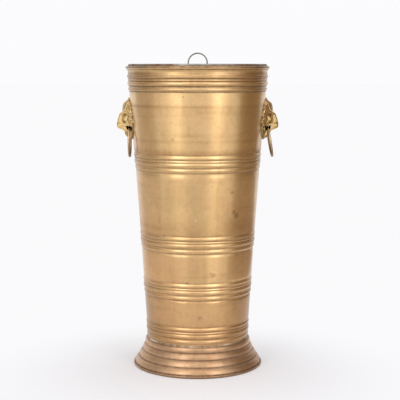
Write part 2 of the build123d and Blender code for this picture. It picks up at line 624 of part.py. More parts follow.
save("body_shell", body_shell())
save("rim_wire", torus_ring(LIP_ROLL_R, LIP_ROLL_Z, LIP_ROLL_RADIUS - BRASS_SHEET - ROLL_FIT))
save("foot_skirt", foot_skirt())
save("foot_wire", torus_ring(FOOT_ROLL_R, FOOT_ROLL_Z, FOOT_ROLL_RADIUS - FOOT_SHEET - ROLL_FIT))
save("neck_solder", neck_solder())
save("base_plate", base_plate())

for side_name, side, pivot in (("left", -1, LEFT_RING_PIVOT), ("right", 1, RIGHT_RING_PIVOT)):
    save(side_name + "_lion_mask", mask_side(right_lion_mask(pivot), side))
    save(side_name + "_mask_screws", [mask_side(screw, side) for screw in right_mask_screws()])
    save(side_name + "_mask_washers", [mask_side(washer, side) for washer in right_mask_washers()])
save("left_ring", mask_side(right_ring(LEFT_RING_PIVOT, 0.0), -1))
save("right_ring", right_ring(RIGHT_RING_PIVOT, RIGHT_RING_TILT))

save("liner_shell", liner_shell())
save("liner_rim_wire", torus_ring(LINER_BEAD_R, LINER_BEAD_Z, LINER_BEAD_RADIUS - LINER_SHEET - ROLL_FIT))
save("liner_bottom", liner_bottom())
save("loop_clip", loop_clip())
save("clip_rivets", clip_rivets())
save("lift_loop", lift_loop())
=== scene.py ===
import bpy
import bmesh
import math
import numpy as np
from mathutils import Matrix, Vector, noise


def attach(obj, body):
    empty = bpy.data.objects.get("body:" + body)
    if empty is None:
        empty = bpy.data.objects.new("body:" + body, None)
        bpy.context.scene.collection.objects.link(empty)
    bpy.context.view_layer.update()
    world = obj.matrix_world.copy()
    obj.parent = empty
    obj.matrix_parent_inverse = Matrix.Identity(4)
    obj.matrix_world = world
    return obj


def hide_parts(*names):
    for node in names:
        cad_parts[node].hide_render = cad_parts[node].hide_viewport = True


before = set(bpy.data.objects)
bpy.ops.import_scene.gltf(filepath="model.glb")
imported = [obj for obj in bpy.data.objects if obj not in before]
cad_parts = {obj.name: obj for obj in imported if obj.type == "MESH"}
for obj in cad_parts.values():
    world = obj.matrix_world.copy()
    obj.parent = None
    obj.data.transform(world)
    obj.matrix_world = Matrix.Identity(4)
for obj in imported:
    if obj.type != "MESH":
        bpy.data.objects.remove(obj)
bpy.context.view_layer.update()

# Body: brass sheet rolled to a taper and swaged with five bands of beads. Its lip flares and is rolled
# over a wire. Satin polish gone mellow, with old polish and tarnish left dark in the grooves, and painted
# shade on the lower slopes of the beads and under the lip.
MM = 0.001
NECK_Z, THROAT_Z = 46.3, 483.0
NECK_R, MOUTH_R, WALL_BOW = 84.3, 114.8, 1.5
BRASS_SHEET = 1.0
LIP_R, LIP_Z, LIP_ROLL, LIP_HOLLOW = 115.84, 496.0, 2.6, 1.15
BANDS = (470.4, 342.3, 212.2, 135.4, 62.4)
# Each band from the top: a narrow bead, a fine ridge, the main bead and a narrow bead, each as
# (offset, width, rise)
BEADS = ((11.3, 6.2, 0.8), (5.8, 3.0, 0.5), (0.0, 7.6, 1.15), (-9.0, 6.2, 0.8))
# The band under the lip stands out further than the others
FULLNESS = (1.7, 1.0, 1.0, 1.0, 1.0)
# The coves above and below a band, from its middle, with the depth and spread of the upper one and of each
# band's lower one
UPPER_COVE, LOWER_COVE = 15.6, -13.4
UPPER_COVE_DEPTH, UPPER_COVE_SPREAD = 0.5, 1.6
LOWER_COVES = ((0.0, 1.6), (0.6, 4.5), (0.7, 2.6), (0.6, 1.6), (0.0, 1.6))
# Dirt and painted shade lines of each band, as (offset, share, spread), further ones on the band under the
# lip, and the place of that band's last bead, which is painted darker as shade
DIRT_AND_SHADE_LINES = ((16.6, 0.45, 1.1), (8.8, 1.0, 0.75), (3.9, 1.0, 0.6), (-3.4, 0.95, 0.75), (-12.1, 0.95, 0.75))
RIM_LINES, RIM_SHADED_BEAD = (12.2, -4.9, -12.9), -8.6
# Strengths of the old polish and painted shade at the lip, of the dirt and painted shade in the grooves, and
# of the extra lines on the band under the lip
LIP_DIRT_AND_SHADE, GROOVE_DIRT_AND_SHADE, RIM_DIRT_AND_SHADE = 0.85, 0.6, 0.45
# Heights of the two dark level lines round the mask panel (the upper a painted reflection edge, the lower
# tarnish), of the lighter strip painted above them as part of that reflection, of the browning above the
# middle band, and of the top of the brown next to the foot, with its softness
REFLECTED_EDGE_LINE, LOWER_LINE = 435.2, 380.0
LIT_STRIP_LOW, LIT_STRIP_HIGH = 436.0, 462.0
MIDDLE_BROWN, FOOT_BROWN, FOOT_BROWN_FADE = 236.0, 124.0, 7.0
# Old knocks that show at the front, a pit and stains, as (across, height, radius, strength)
KNOCKS = ((-53.2, 228.0, 1.5, 1.0), (-38.6, 384.2, 3.6, 0.45), (62.3, 260.6, 7.0, 0.45),
          (58.0, 266.5, 5.0, 0.4), (25.4, 165.3, 5.2, 0.45), (21.0, 168.0, 3.0, 0.35),
          (55.5, 298.7, 4.6, 0.35), (4.6, 94.7, 5.5, 0.4), (-16.3, 152.5, 4.0, 0.4),
          (-22.0, 450.5, 2.2, 0.5))
# Places rubbed bright, given in the same way
RUBS = ((-3.4, 255.6, 4.5, 0.6), (14.0, 266.0, 3.0, 0.4))


def wall_radius(z):
    share = (z - NECK_Z) / (THROAT_Z - NECK_Z)
    return NECK_R + (MOUTH_R - NECK_R) * share - WALL_BOW * 4.0 * share * (1.0 - share)


def bell(away, spread, power=2):
    """Smooth bump that is 1 in the middle and fades over the spread."""
    return math.exp(-(away / spread) ** power)


def fade(over, softness):
    """Smooth step from 1, well under a level, to 0, well over it."""
    return 1.0 / (1.0 + math.exp(over / softness))


def wall_line(z):
    """Radius of the wall with the coves beside the bands."""
    radius = wall_radius(z)
    for band, (depth, spread) in zip(BANDS, LOWER_COVES):
        radius -= UPPER_COVE_DEPTH * bell(z - band - UPPER_COVE, UPPER_COVE_SPREAD)
        radius -= depth * bell(z - band - LOWER_COVE, spread)
    return radius


def arc_points(centre, radius, start, end, count):
    """Points of a circle in the profile plane, from one angle to another in degrees."""
    points = []
    for step in range(count + 1):
        turn = math.radians(start + (end - start) * step / count)
        points.append((centre[0] + radius * math.cos(turn), centre[1] + radius * math.sin(turn)))
    return points


def bead_points(z, width, rise, count):
    """Profile of one swaged bead from its upper edge to its lower edge."""
    points = []
    for step in range(count + 1):
        across = 1.0 - 2.0 * step / count
        height = z + across * width / 2
        points.append((wall_line(height) + rise * (1.0 - across ** 2), height))
    return points


def panel_points(top, bottom, spacing=2.5, close=(0.6, 1.4, 2.2, 3.2, 4.4, 6.0)):
    """Profile of a plain stretch of wall without its two ends, with more points close to them, where the
    coves are and the shading of a bead stops."""
    ends = [step for step in close if step < 0.4 * (top - bottom)]
    if not ends:
        return []
    high, low = top - ends[-1], bottom + ends[-1]
    count = max(1, round((high - low) / spacing))
    heights = [top - step for step in ends]
    heights += [high + (low - high) * step / count for step in range(1, count)]
    heights += [bottom + step for step in reversed(ends)]
    return [(wall_line(z), z) for z in heights]


def smooth_mesh(mesh, sharp_degrees):
    """Smooth shading with the creases kept."""
    mesh.shade_smooth()
    mesh.set_sharp_from_angle(angle=math.radians(sharp_degrees))


def add_piece(name, bm):
    """Object from a finished bmesh, in metres, with its normals facing out."""
    bmesh.ops.recalc_face_normals(bm, faces=bm.faces)
    mesh = bpy.data.meshes.new(name)
    bm.to_mesh(mesh)
    bm.free()
    piece = bpy.data.objects.new(name, mesh)
    bpy.context.scene.collection.objects.link(piece)
    return piece


def turned_piece(name, outline, grime_and_shade, turns=192, unevenness=None, tarnish=None, blush=None):
    """Closed outline of (radius, height) in millimetres turned about the axis. The grime function gives the
    dirt and painted shade, tarnish the browning (on the body also painted shade and a painted reflection) and
    blush the reddening at a point, from 0 to 1, and unevenness moves it in or out as on handmade work."""
    bm = bmesh.new()
    layer = bm.verts.layers.float.new("grime_and_shade")
    tarnish_layer = bm.verts.layers.float.new("tarnish")
    blush_layer = bm.verts.layers.float.new("blush")
    rings = []
    for radius, z in outline:
        ring = []
        for step in range(turns if radius > 0.01 else 1):
            turn = 2.0 * math.pi * step / turns
            out = radius + (unevenness(turn, radius, z) if unevenness else 0.0)
            vert = bm.verts.new((out * math.cos(turn) * MM, out * math.sin(turn) * MM, z * MM))
            vert[layer] = grime_and_shade(radius, z)
            vert[tarnish_layer] = tarnish(turn, z) if tarnish else 0.0
            vert[blush_layer] = blush(turn, z) if blush else 0.0
            ring.append(vert)
        rings.append(ring)
    for upper, lower in zip(rings, rings[1:] + rings[:1]):
        for step in range(turns):
            after = (step + 1) % turns
            corners = [upper[step % len(upper)], lower[step % len(lower)],
                       lower[after % len(lower)], upper[after % len(upper)]]
            corners = list(dict.fromkeys(corners))
            if len(corners) > 2:
                bm.faces.new(corners)
    piece = add_piece(name, bm)
    smooth_mesh(piece.data, 40.0)
    return piece


def add_value(tree, node, key, value):
    """Input of a node, by name or number, set to a value or linked to another node."""
    if isinstance(value, bpy.types.NodeSocket):
        tree.links.new(value, node.inputs[key])
    else:
        node.inputs[key].default_value = value


def add_node(tree, kind, sockets=None, **settings):
    """Shader node with its settings and its inputs."""
    made = tree.nodes.new("ShaderNode" + kind)
    for key, value in settings.items():
        setattr(made, key, value)
    for key, value in (sockets or {}).items():
        add_value(tree, made, key, value)
    return made


def noise_mask(tree, vector, scale, low, high, detail=4.0, roughness=0.6):
    """Cloudy mask: 0 under the low value of the noise and 1 over the high one."""
    cloud = add_node(tree, "TexNoise", {"Vector": vector, "Scale": scale, "Detail": detail,
                                        "Roughness": roughness})
    return add_node(tree, "MapRange", {"Value": cloud.outputs["Fac"], "From Min": low, "From Max": high},
                    interpolation_type="SMOOTHSTEP").outputs["Result"]


def blend_colour(tree, factor, first, second):
    return add_node(tree, "Mix", {"Factor": factor, 6: first, 7: second}, data_type="RGBA").outputs[2]


def arithmetic(tree, kind, first, second, third=None, clamp=False):
    made = add_node(tree, "Math", {0: first, 1: second}, operation=kind, use_clamp=clamp)
    if third is not None:
        add_value(tree, made, 2, third)
    return made.outputs[0]


def stretched(tree, vector, scale):
    """Coordinates stretched along the axes, for marks that run one way."""
    return add_node(tree, "Mapping", {"Vector": vector, "Scale": scale}).outputs["Vector"]


def shader_group(name, inputs, outputs):
    """Empty node group with named sockets: colours where the start value is a tuple, else numbers."""
    tree = bpy.data.node_groups.new(name, "ShaderNodeTree")
    for key, value in inputs.items():
        kind = "NodeSocketColor" if isinstance(value, tuple) else "NodeSocketFloat"
        tree.interface.new_socket(name=key, in_out="INPUT", socket_type=kind).default_value = value
    for key, kind in outputs.items():
        tree.interface.new_socket(name=key, in_out="OUTPUT", socket_type="NodeSocket" + kind)
    return tree, tree.nodes.new("NodeGroupInput").outputs, tree.nodes.new("NodeGroupOutput").inputs


def old_brass_group():
    """Brass that has mellowed in olive and coppery patches, with brown clouds, level tarnish lines, faint
    runs, dirt and painted shade darkened in where a piece asks for it, and fine polishing lines."""
    tree, given, gives = shader_group(
        "old_brass",
        {"Bright": (0.72, 0.48, 0.235, 1.0), "Brown": (0.45, 0.25, 0.1, 1.0),
         "Dark": (0.06, 0.035, 0.015, 1.0), "Olive": (0.52, 0.42, 0.22, 1.0),
         "Copper": (0.72, 0.42, 0.25, 1.0), "Tint share": 0.6, "Brown share": 0.4, "Cloud size": 14.0,
         "Tarnish": 0.0, "Blush": 0.0, "Grime_and_shade": 0.0, "Polish": 0.3},
        {"Color": "Color", "Roughness": "Float", "Height": "Float"})
    place = add_node(tree, "TexCoord").outputs["Object"]
    clouds = noise_mask(tree, place, given["Cloud size"], 0.42, 0.78, detail=5.0)
    mottle = noise_mask(tree, place, 90.0, 0.4, 0.75, detail=6.0, roughness=0.7)
    levels = noise_mask(tree, stretched(tree, place, (5.0, 5.0, 75.0)), 1.0, 0.52, 0.76, detail=3.0)
    runs = noise_mask(tree, stretched(tree, place, (75.0, 75.0, 4.0)), 1.0, 0.5, 0.8, detail=3.0)
    specks = noise_mask(tree, place, 260.0, 0.4, 0.72, roughness=0.7)
    marks = arithmetic(tree, "MULTIPLY", arithmetic(tree, "ADD", levels, runs), 0.75)
    specks = arithmetic(tree, "MULTIPLY", specks, 0.4)
    blots = arithmetic(tree, "MULTIPLY", arithmetic(tree, "ADD", mottle, specks), 0.75)
    brown = arithmetic(tree, "ADD", arithmetic(tree, "ADD", clouds, marks), blots)
    brown = arithmetic(tree, "MULTIPLY", brown, given["Brown share"])
    brown = arithmetic(tree, "ADD", brown, given["Tarnish"], clamp=True)
    olive = noise_mask(tree, place, 6.3, 0.42, 0.66)
    olive = arithmetic(tree, "MULTIPLY", olive, given["Tint share"])
    copper = noise_mask(tree, place, 11.7, 0.48, 0.7)
    copper = arithmetic(tree, "MULTIPLY", copper, given["Tint share"])
    copper = arithmetic(tree, "ADD", copper, given["Blush"], clamp=True)
    colour = blend_colour(tree, olive, given["Bright"], given["Olive"])
    colour = blend_colour(tree, copper, colour, given["Copper"])
    colour = blend_colour(tree, brown, colour, given["Brown"])
    ragged = noise_mask(tree, place, 120.0, 0.25, 0.75, detail=3.0)
    ragged = arithmetic(tree, "ADD", arithmetic(tree, "MULTIPLY", ragged, 0.4), 0.75)
    # Dirt and painted shade from the pieces are darkened into the colour here
    dirt = arithmetic(tree, "MULTIPLY", given["Grime_and_shade"], ragged, clamp=True)
    colour = blend_colour(tree, dirt, colour, given["Dark"])
    lines = add_node(tree, "TexNoise", {"Vector": stretched(tree, place, (9.0, 9.0, 700.0)), "Scale": 1.0,
                                        "Detail": 3.0}).outputs["Fac"]
    rough = arithmetic(tree, "ADD", given["Polish"], arithmetic(tree, "MULTIPLY", brown, 0.12))
    rough = arithmetic(tree, "ADD", rough, arithmetic(tree, "MULTIPLY", dirt, 0.25))
    rough = arithmetic(tree, "ADD", rough, arithmetic(tree, "MULTIPLY", lines, 0.08), clamp=True)
    grain = arithmetic(tree, "MULTIPLY", mottle, 0.3)
    height = arithmetic(tree, "ADD", arithmetic(tree, "MULTIPLY", lines, 0.3), grain)
    for key, value in (("Color", colour), ("Roughness", rough), ("Height", height)):
        tree.links.new(value, gives[key])
    return tree


def scuffs_group():
    """Small dents, pits and short scratches: where they are, and how deep."""
    tree, given, gives = shader_group("scuffs", {"Density": 1.0}, {"Mask": "Float", "Height": "Float"})
    place = add_node(tree, "TexCoord").outputs["Object"]
    spots = add_node(tree, "TexVoronoi", {"Vector": place, "Scale": 42.0, "Randomness": 1.0}, feature="F1")
    pick = add_node(tree, "SeparateColor", {"Color": spots.outputs["Color"]}).outputs[0]
    size = add_node(tree, "MapRange", {"Value": pick, "From Min": 0.9, "From Max": 1.0,
                                       "To Max": 0.09}).outputs["Result"]
    pits = add_node(tree, "MapRange", {"Value": arithmetic(tree, "SUBTRACT", size, spots.outputs["Distance"]),
                                       "From Min": 0.0, "From Max": 0.03}).outputs["Result"]
    wander = add_node(tree, "TexNoise", {"Vector": place, "Scale": 11.0, "Detail": 2.0}).outputs["Color"]
    bent = add_node(tree, "VectorMath", {0: wander, 1: (0.05, 0.05, 0.02)}, operation="MULTIPLY").outputs[0]
    bent = add_node(tree, "VectorMath", {0: bent, 1: place}, operation="ADD").outputs[0]
    bent = stretched(tree, bent, (26.0, 26.0, 150.0))
    scratch = add_node(tree, "TexVoronoi", {"Vector": bent, "Scale": 1.0},
                       feature="DISTANCE_TO_EDGE").outputs["Distance"]
    hair = add_node(tree, "MapRange", {"Value": scratch, "From Min": 0.012,
                                       "From Max": 0.0}).outputs["Result"]
    few = noise_mask(tree, place, 17.0, 0.56, 0.7, detail=2.0)
    hair = arithmetic(tree, "MULTIPLY", hair, few)
    marks = arithmetic(tree, "MAXIMUM", pits, hair)
    marks = arithmetic(tree, "MULTIPLY", marks, given["Density"], clamp=True)
    tree.links.new(marks, gives["Mask"])
    tree.links.new(arithmetic(tree, "MULTIPLY", marks, -1.0), gives["Height"])
    return tree


OLD_BRASS = old_brass_group()
SCUFFS = scuffs_group()


def metal_surface(name, metallic):
    """New material with its node tree and its metal shader."""
    material = bpy.data.materials.new(name)
    material.use_nodes = True
    surface = material.node_tree.nodes["Principled BSDF"]
    surface.inputs["Metallic"].default_value = metallic
    return material, material.node_tree, surface


def add_relief(tree, surface, height, strength, distance):
    """Fine relief of a metal's skin."""
    relief = add_node(tree, "Bump", {"Height": height, "Strength": strength, "Distance": distance})
    tree.links.new(relief.outputs["Normal"], surface.inputs["Normal"])


def brass_material(name, tones, brown_share, tint_share, cloud_size, polish, scuffed, bump=0.15):
    """Old brass with its own tones, how brown and blotched it has gone, how smooth it is and how much it is
    knocked about."""
    material, tree, surface = metal_surface(name, 1.0)
    age = add_node(tree, "Group", {"Brown share": brown_share, "Tint share": tint_share,
                                   "Cloud size": cloud_size, "Polish": polish}, node_tree=OLD_BRASS)
    for key in ("Grime_and_shade", "Tarnish", "Blush"):
        share = add_node(tree, "Attribute", attribute_name=key.lower()).outputs["Fac"]
        tree.links.new(share, age.inputs[key])
    for key, tone in tones.items():
        age.inputs[key].default_value = (*tone, 1.0)
    marks = add_node(tree, "Group", {"Density": scuffed}, node_tree=SCUFFS)
    marked = arithmetic(tree, "MULTIPLY", marks.outputs["Mask"], 0.6)
    colour = blend_colour(tree, marked, age.outputs["Color"], (*tones["Dark"], 1.0))
    tree.links.new(colour, surface.inputs["Base Color"])
    tree.links.new(age.outputs["Roughness"], surface.inputs["Roughness"])
    height = arithmetic(tree, "ADD", age.outputs["Height"], marks.outputs["Height"])
    add_relief(tree, surface, height, bump, 0.0004)
    return material


def body_outline():
    outer = arc_points((LIP_R, LIP_Z), LIP_ROLL, 250.0, -62.0, 40)
    last = outer[-1]
    throat_z = BANDS[0] + BEADS[0][0] + BEADS[0][1] / 2
    throat = (wall_radius(throat_z), throat_z)
    # The hollow moulding under the lip
    for step in range(1, 13):
        share = step / 12
        straight = last[0] + (throat[0] - last[0]) * share
        hollow = LIP_HOLLOW * math.sin(math.pi * share ** 0.8)
        outer.append((straight - hollow, last[1] + (throat[1] - last[1]) * share))
    for band, fullness in zip(BANDS, FULLNESS):
        for offset, width, rise in BEADS:
            outer += panel_points(outer[-1][1], band + offset + width / 2)
            outer += bead_points(band + offset, width, rise * fullness, 12 if width > 4.0 else 8)
    outer += panel_points(outer[-1][1], NECK_Z) + [(NECK_R, NECK_Z)]
    inner = [(NECK_R - BRASS_SHEET, NECK_Z)]
    for z in range(60, 490, 10):
        inner.append((wall_radius(z) - BRASS_SHEET, float(z)))
    return outer + inner


def groove_dirt_and_shade(radius, z):
    """Dirt and painted shade between the beads of each band, with more lines and a last bead painted darker
    as shade on the band under the lip, old polish on top of the rolled lip, where the liner hangs, and
    painted shade in the crease under it."""
    total = 0.0
    if radius > LIP_R - LIP_ROLL:
        # Old polish on top of the rolled lip, then painted shade in the crease under it
        total += LIP_DIRT_AND_SHADE * min(1.0, max(0.15, (z - LIP_Z + 1.0) / 0.8))
        total += LIP_DIRT_AND_SHADE * bell(z - LIP_Z + LIP_ROLL + 0.3, 0.7)
    for band, fullness in zip(BANDS, FULLNESS):
        # Dirt, with painted shade on the lower slopes of the beads
        for offset, share, spread in DIRT_AND_SHADE_LINES:
            if band + offset > NECK_Z + 5.0:
                total += GROOVE_DIRT_AND_SHADE * share * math.sqrt(fullness) * bell(z - band - offset, spread)
        total += 0.06 * bell(z - band, 17.0, power=4)
    for offset in RIM_LINES:
        total += RIM_DIRT_AND_SHADE * bell(z - BANDS[0] - offset, 0.8)
    # Painted shade: the last bead of the band under the lip is made darker
    total += 0.22 * bell(z - BANDS[0] - RIM_SHADED_BEAD, 2.4)
    return min(total, 1.0)


def body_tarnish_shade_and_reflection(turn, z):
    """Browning low down and beside the beads, most of it on the left and right sides of the body, where it is
    painted shade; darkening above the second band, browning above the middle band, and two dark level lines
    round the mask panel. The upper line is a painted reflection edge, and the lighter strip above it is
    painted reflection too."""
    # Painted shade: the left and right sides of the body, as seen from the front, are made darker
    side = math.cos(turn) ** 2
    right = math.cos(turn - math.radians(-40.0))
    low = fade(z - FOOT_BROWN, FOOT_BROWN_FADE) * (0.04 + (1.0 + 0.2 * right) * side)
    middle = 0.32 * bell(z - MIDDLE_BROWN, 20.0)
    beside = sum(bell(z - band, 15.0, power=4) for band in BANDS) * (0.05 + 0.2 * side)
    for band in BANDS:
        for offset, share, spread in DIRT_AND_SHADE_LINES:
            beside += 0.5 * side * share * bell(z - band - offset, spread)
    # Painted reflection: the upper level line; the lower level line is tarnish
    line = (1.0 - 0.6 * max(0.0, right)) * 1.2 * bell(z - REFLECTED_EDGE_LINE, 2.4)
    line += 0.7 * bell(z - LOWER_LINE, 2.6)
    if z < REFLECTED_EDGE_LINE:
        line += 0.3 * math.exp((z - REFLECTED_EDGE_LINE) / 12.0)
    over = 0.42 * bell(z - BANDS[1] - 20.0, 4.5)
    # Painted reflection: the lighter strip above the upper line
    outside_lit_strip = 0.1 * (1.0 - fade(LIT_STRIP_LOW - z, 0.8) * fade(z - LIT_STRIP_HIGH, 2.0))
    patchy = 0.7 + 0.3 * noise.noise(Vector((math.cos(turn) * 2.4, math.sin(turn) * 2.4, z / 40.0)))
    return min(1.0, low + middle + beside + over + outside_lit_strip + 0.5 * line * patchy + 0.06 * right)


def body_blush(turn, z):
    """Reddening: strong next to the foot, weaker over the lower panels and up the left side."""
    neck = 0.7 * fade(z - FOOT_BROWN, FOOT_BROWN_FADE)
    low = 0.3 * fade(z - 205.0, 10.0)
    left = 0.4 * max(0.0, -math.cos(turn)) ** 2 * fade(z - 345.0, 12.0)
    return min(1.0, neck + low + left)


def body_unevenness(turn, radius, z):
    """Slow waves and shallow dents left by the rolling, fading out at the lip and the neck."""
    calm = min(1.0, (z - NECK_Z) / 30.0, (LIP_Z - z) / 25.0)
    spot = Vector((math.cos(turn) * 2.2, math.sin(turn) * 2.2, z / 55.0))
    wave = noise.noise(spot) * 0.2 + noise.noise(spot * 2.7) * 0.06
    return max(calm, 0.0) * wave


def spot_mask(tree, place, spots):
    """Mask of soft round spots on the front of the wall."""
    total = None
    for across, z, radius, strength in spots:
        centre = (across * MM, -math.sqrt(wall_radius(z) ** 2 - across ** 2) * MM, z * MM)
        away = add_node(tree, "VectorMath", {0: place, 1: centre}, operation="DISTANCE").outputs["Value"]
        spot = add_node(tree, "MapRange", {"Value": away, "From Min": radius * MM,
                                           "From Max": 0.3 * radius * MM, "To Max": strength},
                        interpolation_type="SMOOTHSTEP").outputs["Result"]
        total = spot if total is None else arithmetic(tree, "MAXIMUM", total, spot)
    return total


def knocked_body_brass():
    """The body's brass with its own knocks and rubbed places."""
    tones = {"Bright": (0.81, 0.545, 0.26), "Brown": (0.45, 0.25, 0.1), "Dark": (0.16, 0.09, 0.04),
             "Olive": (0.63, 0.465, 0.22), "Copper": (0.76, 0.455, 0.215)}
    material = brass_material("mellow_body_brass", tones, brown_share=0.3, tint_share=0.65, cloud_size=20.0,
                              polish=0.23, scuffed=0.35)
    tree = material.node_tree
    surface = tree.nodes["Principled BSDF"]
    surface.inputs["Coat Weight"].default_value = 0.4
    surface.inputs["Coat Roughness"].default_value = 0.12
    place = add_node(tree, "TexCoord").outputs["Object"]
    uneven = noise_mask(tree, place, 300.0, 0.25, 0.6, detail=3.0)
    stain = arithmetic(tree, "MULTIPLY", spot_mask(tree, place, KNOCKS), uneven)
    rub = arithmetic(tree, "MULTIPLY", spot_mask(tree, place, RUBS), 0.6)
    colour = surface.inputs["Base Color"].links[0].from_socket
    colour = blend_colour(tree, stain, colour, (0.07, 0.04, 0.02, 1.0))
    colour = blend_colour(tree, rub, colour, (0.86, 0.66, 0.4, 1.0))
    tree.links.new(colour, surface.inputs["Base Color"])
    return material


body = turned_piece("brass_body", body_outline(), groove_dirt_and_shade, unevenness=body_unevenness,
                    tarnish=body_tarnish_shade_and_reflection, blush=body_blush)
body.data.materials.append(knocked_body_brass())
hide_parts("body_shell")
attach(body, "stand")

# Lip wire: iron wire inside the rolled lip. It is closed in by the brass, so only its own dull skin is set.
# The foot's and the liner's edges are rolled over the same wire.


def metal_material(name, light, dark, roughness):
    """Plain grey metal with dull clouds and a slightly rough skin."""
    material, tree, surface = metal_surface(name, 1.0)
    place = add_node(tree, "TexCoord").outputs["Object"]
    clouds = noise_mask(tree, place, 60.0, 0.35, 0.7, detail=5.0)
    fine = noise_mask(tree, place, 540.0, 0.3, 0.7, detail=3.0)
    tree.links.new(blend_colour(tree, clouds, (*light, 1.0), (*dark, 1.0)), surface.inputs["Base Color"])
    rough = arithmetic(tree, "MULTIPLY_ADD", clouds, 0.2, roughness)
    tree.links.new(rough, surface.inputs["Roughness"])
    add_relief(tree, surface, fine, 0.2, 0.0003)
    return material


def dress_node(node, material):
    """A CAD piece keeps its shape and takes a finish."""
    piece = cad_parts[node]
    piece.data.materials.clear()
    piece.data.materials.append(material)


IRON_WIRE = metal_material("dull_iron_wire", (0.32, 0.3, 0.28), (0.16, 0.13, 0.11), 0.45)
for wire in ("rim_wire", "foot_wire", "liner_rim_wire"):
    dress_node(wire, IRON_WIRE)

# Foot: spun from one disc of brass. A spigot goes up inside the body, and below its shoulder the flare
# swells in four rounded steps to an edge rolled over a wire. It has gone browner than the body.
FOOT_SHEET = 0.8
SHOULDER_R, SPIGOT_TOP, SPIGOT_GAP = 85.8, 56.0, 0.1
STEP_GROWTH = (2.4, 4.6, 6.4, 7.0)
STEP_BULGE = 1.1
FOOT_ROLL, FOOT_FLAT = 2.7, 0.3
FOOT_JOIN = 60.0


def foot_creases():
    reach = FOOT_ROLL - FOOT_SHEET / 2
    low = FOOT_ROLL - FOOT_FLAT + reach * math.sin(math.radians(FOOT_JOIN))
    creases = [(SHOULDER_R, NECK_Z)]
    for growth in STEP_GROWTH:
        creases.append((creases[-1][0] + growth, creases[-1][1] - (NECK_Z - low) / len(STEP_GROWTH)))
    return creases


def foot_outline():
    creases = foot_creases()
    spigot = NECK_R - BRASS_SHEET - SPIGOT_GAP
    outer = [(spigot, SPIGOT_TOP), (spigot, NECK_Z), creases[0]]
    for upper, lower in zip(creases, creases[1:]):
        run = (lower[0] - upper[0], lower[1] - upper[1])
        length = math.hypot(*run)
        for step in range(1, 13):
            share = step / 12
            swell = STEP_BULGE * (1.0 - (2.0 * share - 1.0) ** 2)
            outer.append((upper[0] + run[0] * share - run[1] / length * swell,
                          upper[1] + run[1] * share + run[0] / length * swell))
    inner = [(r - FOOT_SHEET, z - FOOT_SHEET) for r, z in reversed(outer[2:])]
    roll_r = creases[-1][0] - (FOOT_ROLL - FOOT_SHEET / 2) * math.cos(math.radians(FOOT_JOIN))
    roll = arc_points((roll_r, FOOT_ROLL - FOOT_FLAT), FOOT_ROLL, 58.0, -228.0, 40)
    roll = [(r, max(z, 0.0)) for r, z in roll]
    bore = spigot - FOOT_SHEET
    return outer[:-1] + roll + inner[1:] + [(bore, NECK_Z - FOOT_SHEET), (bore, SPIGOT_TOP)]


def crease_dirt_and_shade(radius, z):
    """Dirt and painted shade in the creases, more of it the lower they are, painted shade fading down below
    each crease, a dark line under the solder, and painted shade on the rolled edge.
    """
    # Painted shade on the rolled edge, where it would reflect the shadow under the stand, and a dark line
    # under the solder
    total = 0.05 + 0.3 * bell(z, 3.4, power=4) + 0.75 * bell(z - NECK_Z + 0.8, 0.9)
    for index, crease in enumerate(foot_creases()[1:]):
        above = z - crease[1]
        # Dirt and painted shade at each crease, and painted shade fading down below it
        total += (0.8 + 0.1 * index) * bell(above - 0.7, 1.0)
        if above < 0.0:
            total += 0.3 * math.exp(above / 2.6)
    return min(total, 1.0)


def foot_unevenness(turn, radius, z):
    """Slow waves left by the spinning, fading out at the bottom edge and the neck."""
    calm = min(1.0, z / 12.0, max(0.0, (NECK_Z - z) / 8.0))
    spot = Vector((math.cos(turn) * 3.0, math.sin(turn) * 3.0, z / 30.0))
    return calm * (noise.noise(spot) * 0.25)


def foot_tarnish(turn, z):
    """Browning, most of it at the front."""
    return 0.5 * max(0.0, -math.sin(turn)) ** 3


foot = turned_piece("brass_foot", foot_outline(), crease_dirt_and_shade, unevenness=foot_unevenness,
                    tarnish=foot_tarnish)
foot.data.materials.append(brass_material(
    "brown_foot_brass",
    {"Bright": (0.67, 0.43, 0.26), "Brown": (0.37, 0.21, 0.11), "Dark": (0.13, 0.075, 0.045),
     "Olive": (0.54, 0.39, 0.225), "Copper": (0.63, 0.375, 0.25)},
    brown_share=0.42, tint_share=0.7, cloud_size=16.0, polish=0.25, scuffed=0.6))
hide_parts("foot_skirt")
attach(foot, "stand")

# Solder: soft solder run round the joint of body and foot, and wiped by hand, so its upper edge wanders.
# It has dulled to a brownish grey, but for two places at the front that were scraped pale.
SOLDER_RISE, SOLDER_TOE = 2.9, 0.45
# Scraped places, as (degrees round the axis, spread)
SCRAPED_PLACES = ((209.0, 8.0), (305.0, 6.0))


def join_rows(bm, rows):
    """Faces between rows of points that each run once round."""
    for first, second in zip(rows, rows[1:]):
        for spot in range(len(first)):
            bm.faces.new([first[spot], second[spot], second[spot - 1], first[spot - 1]])


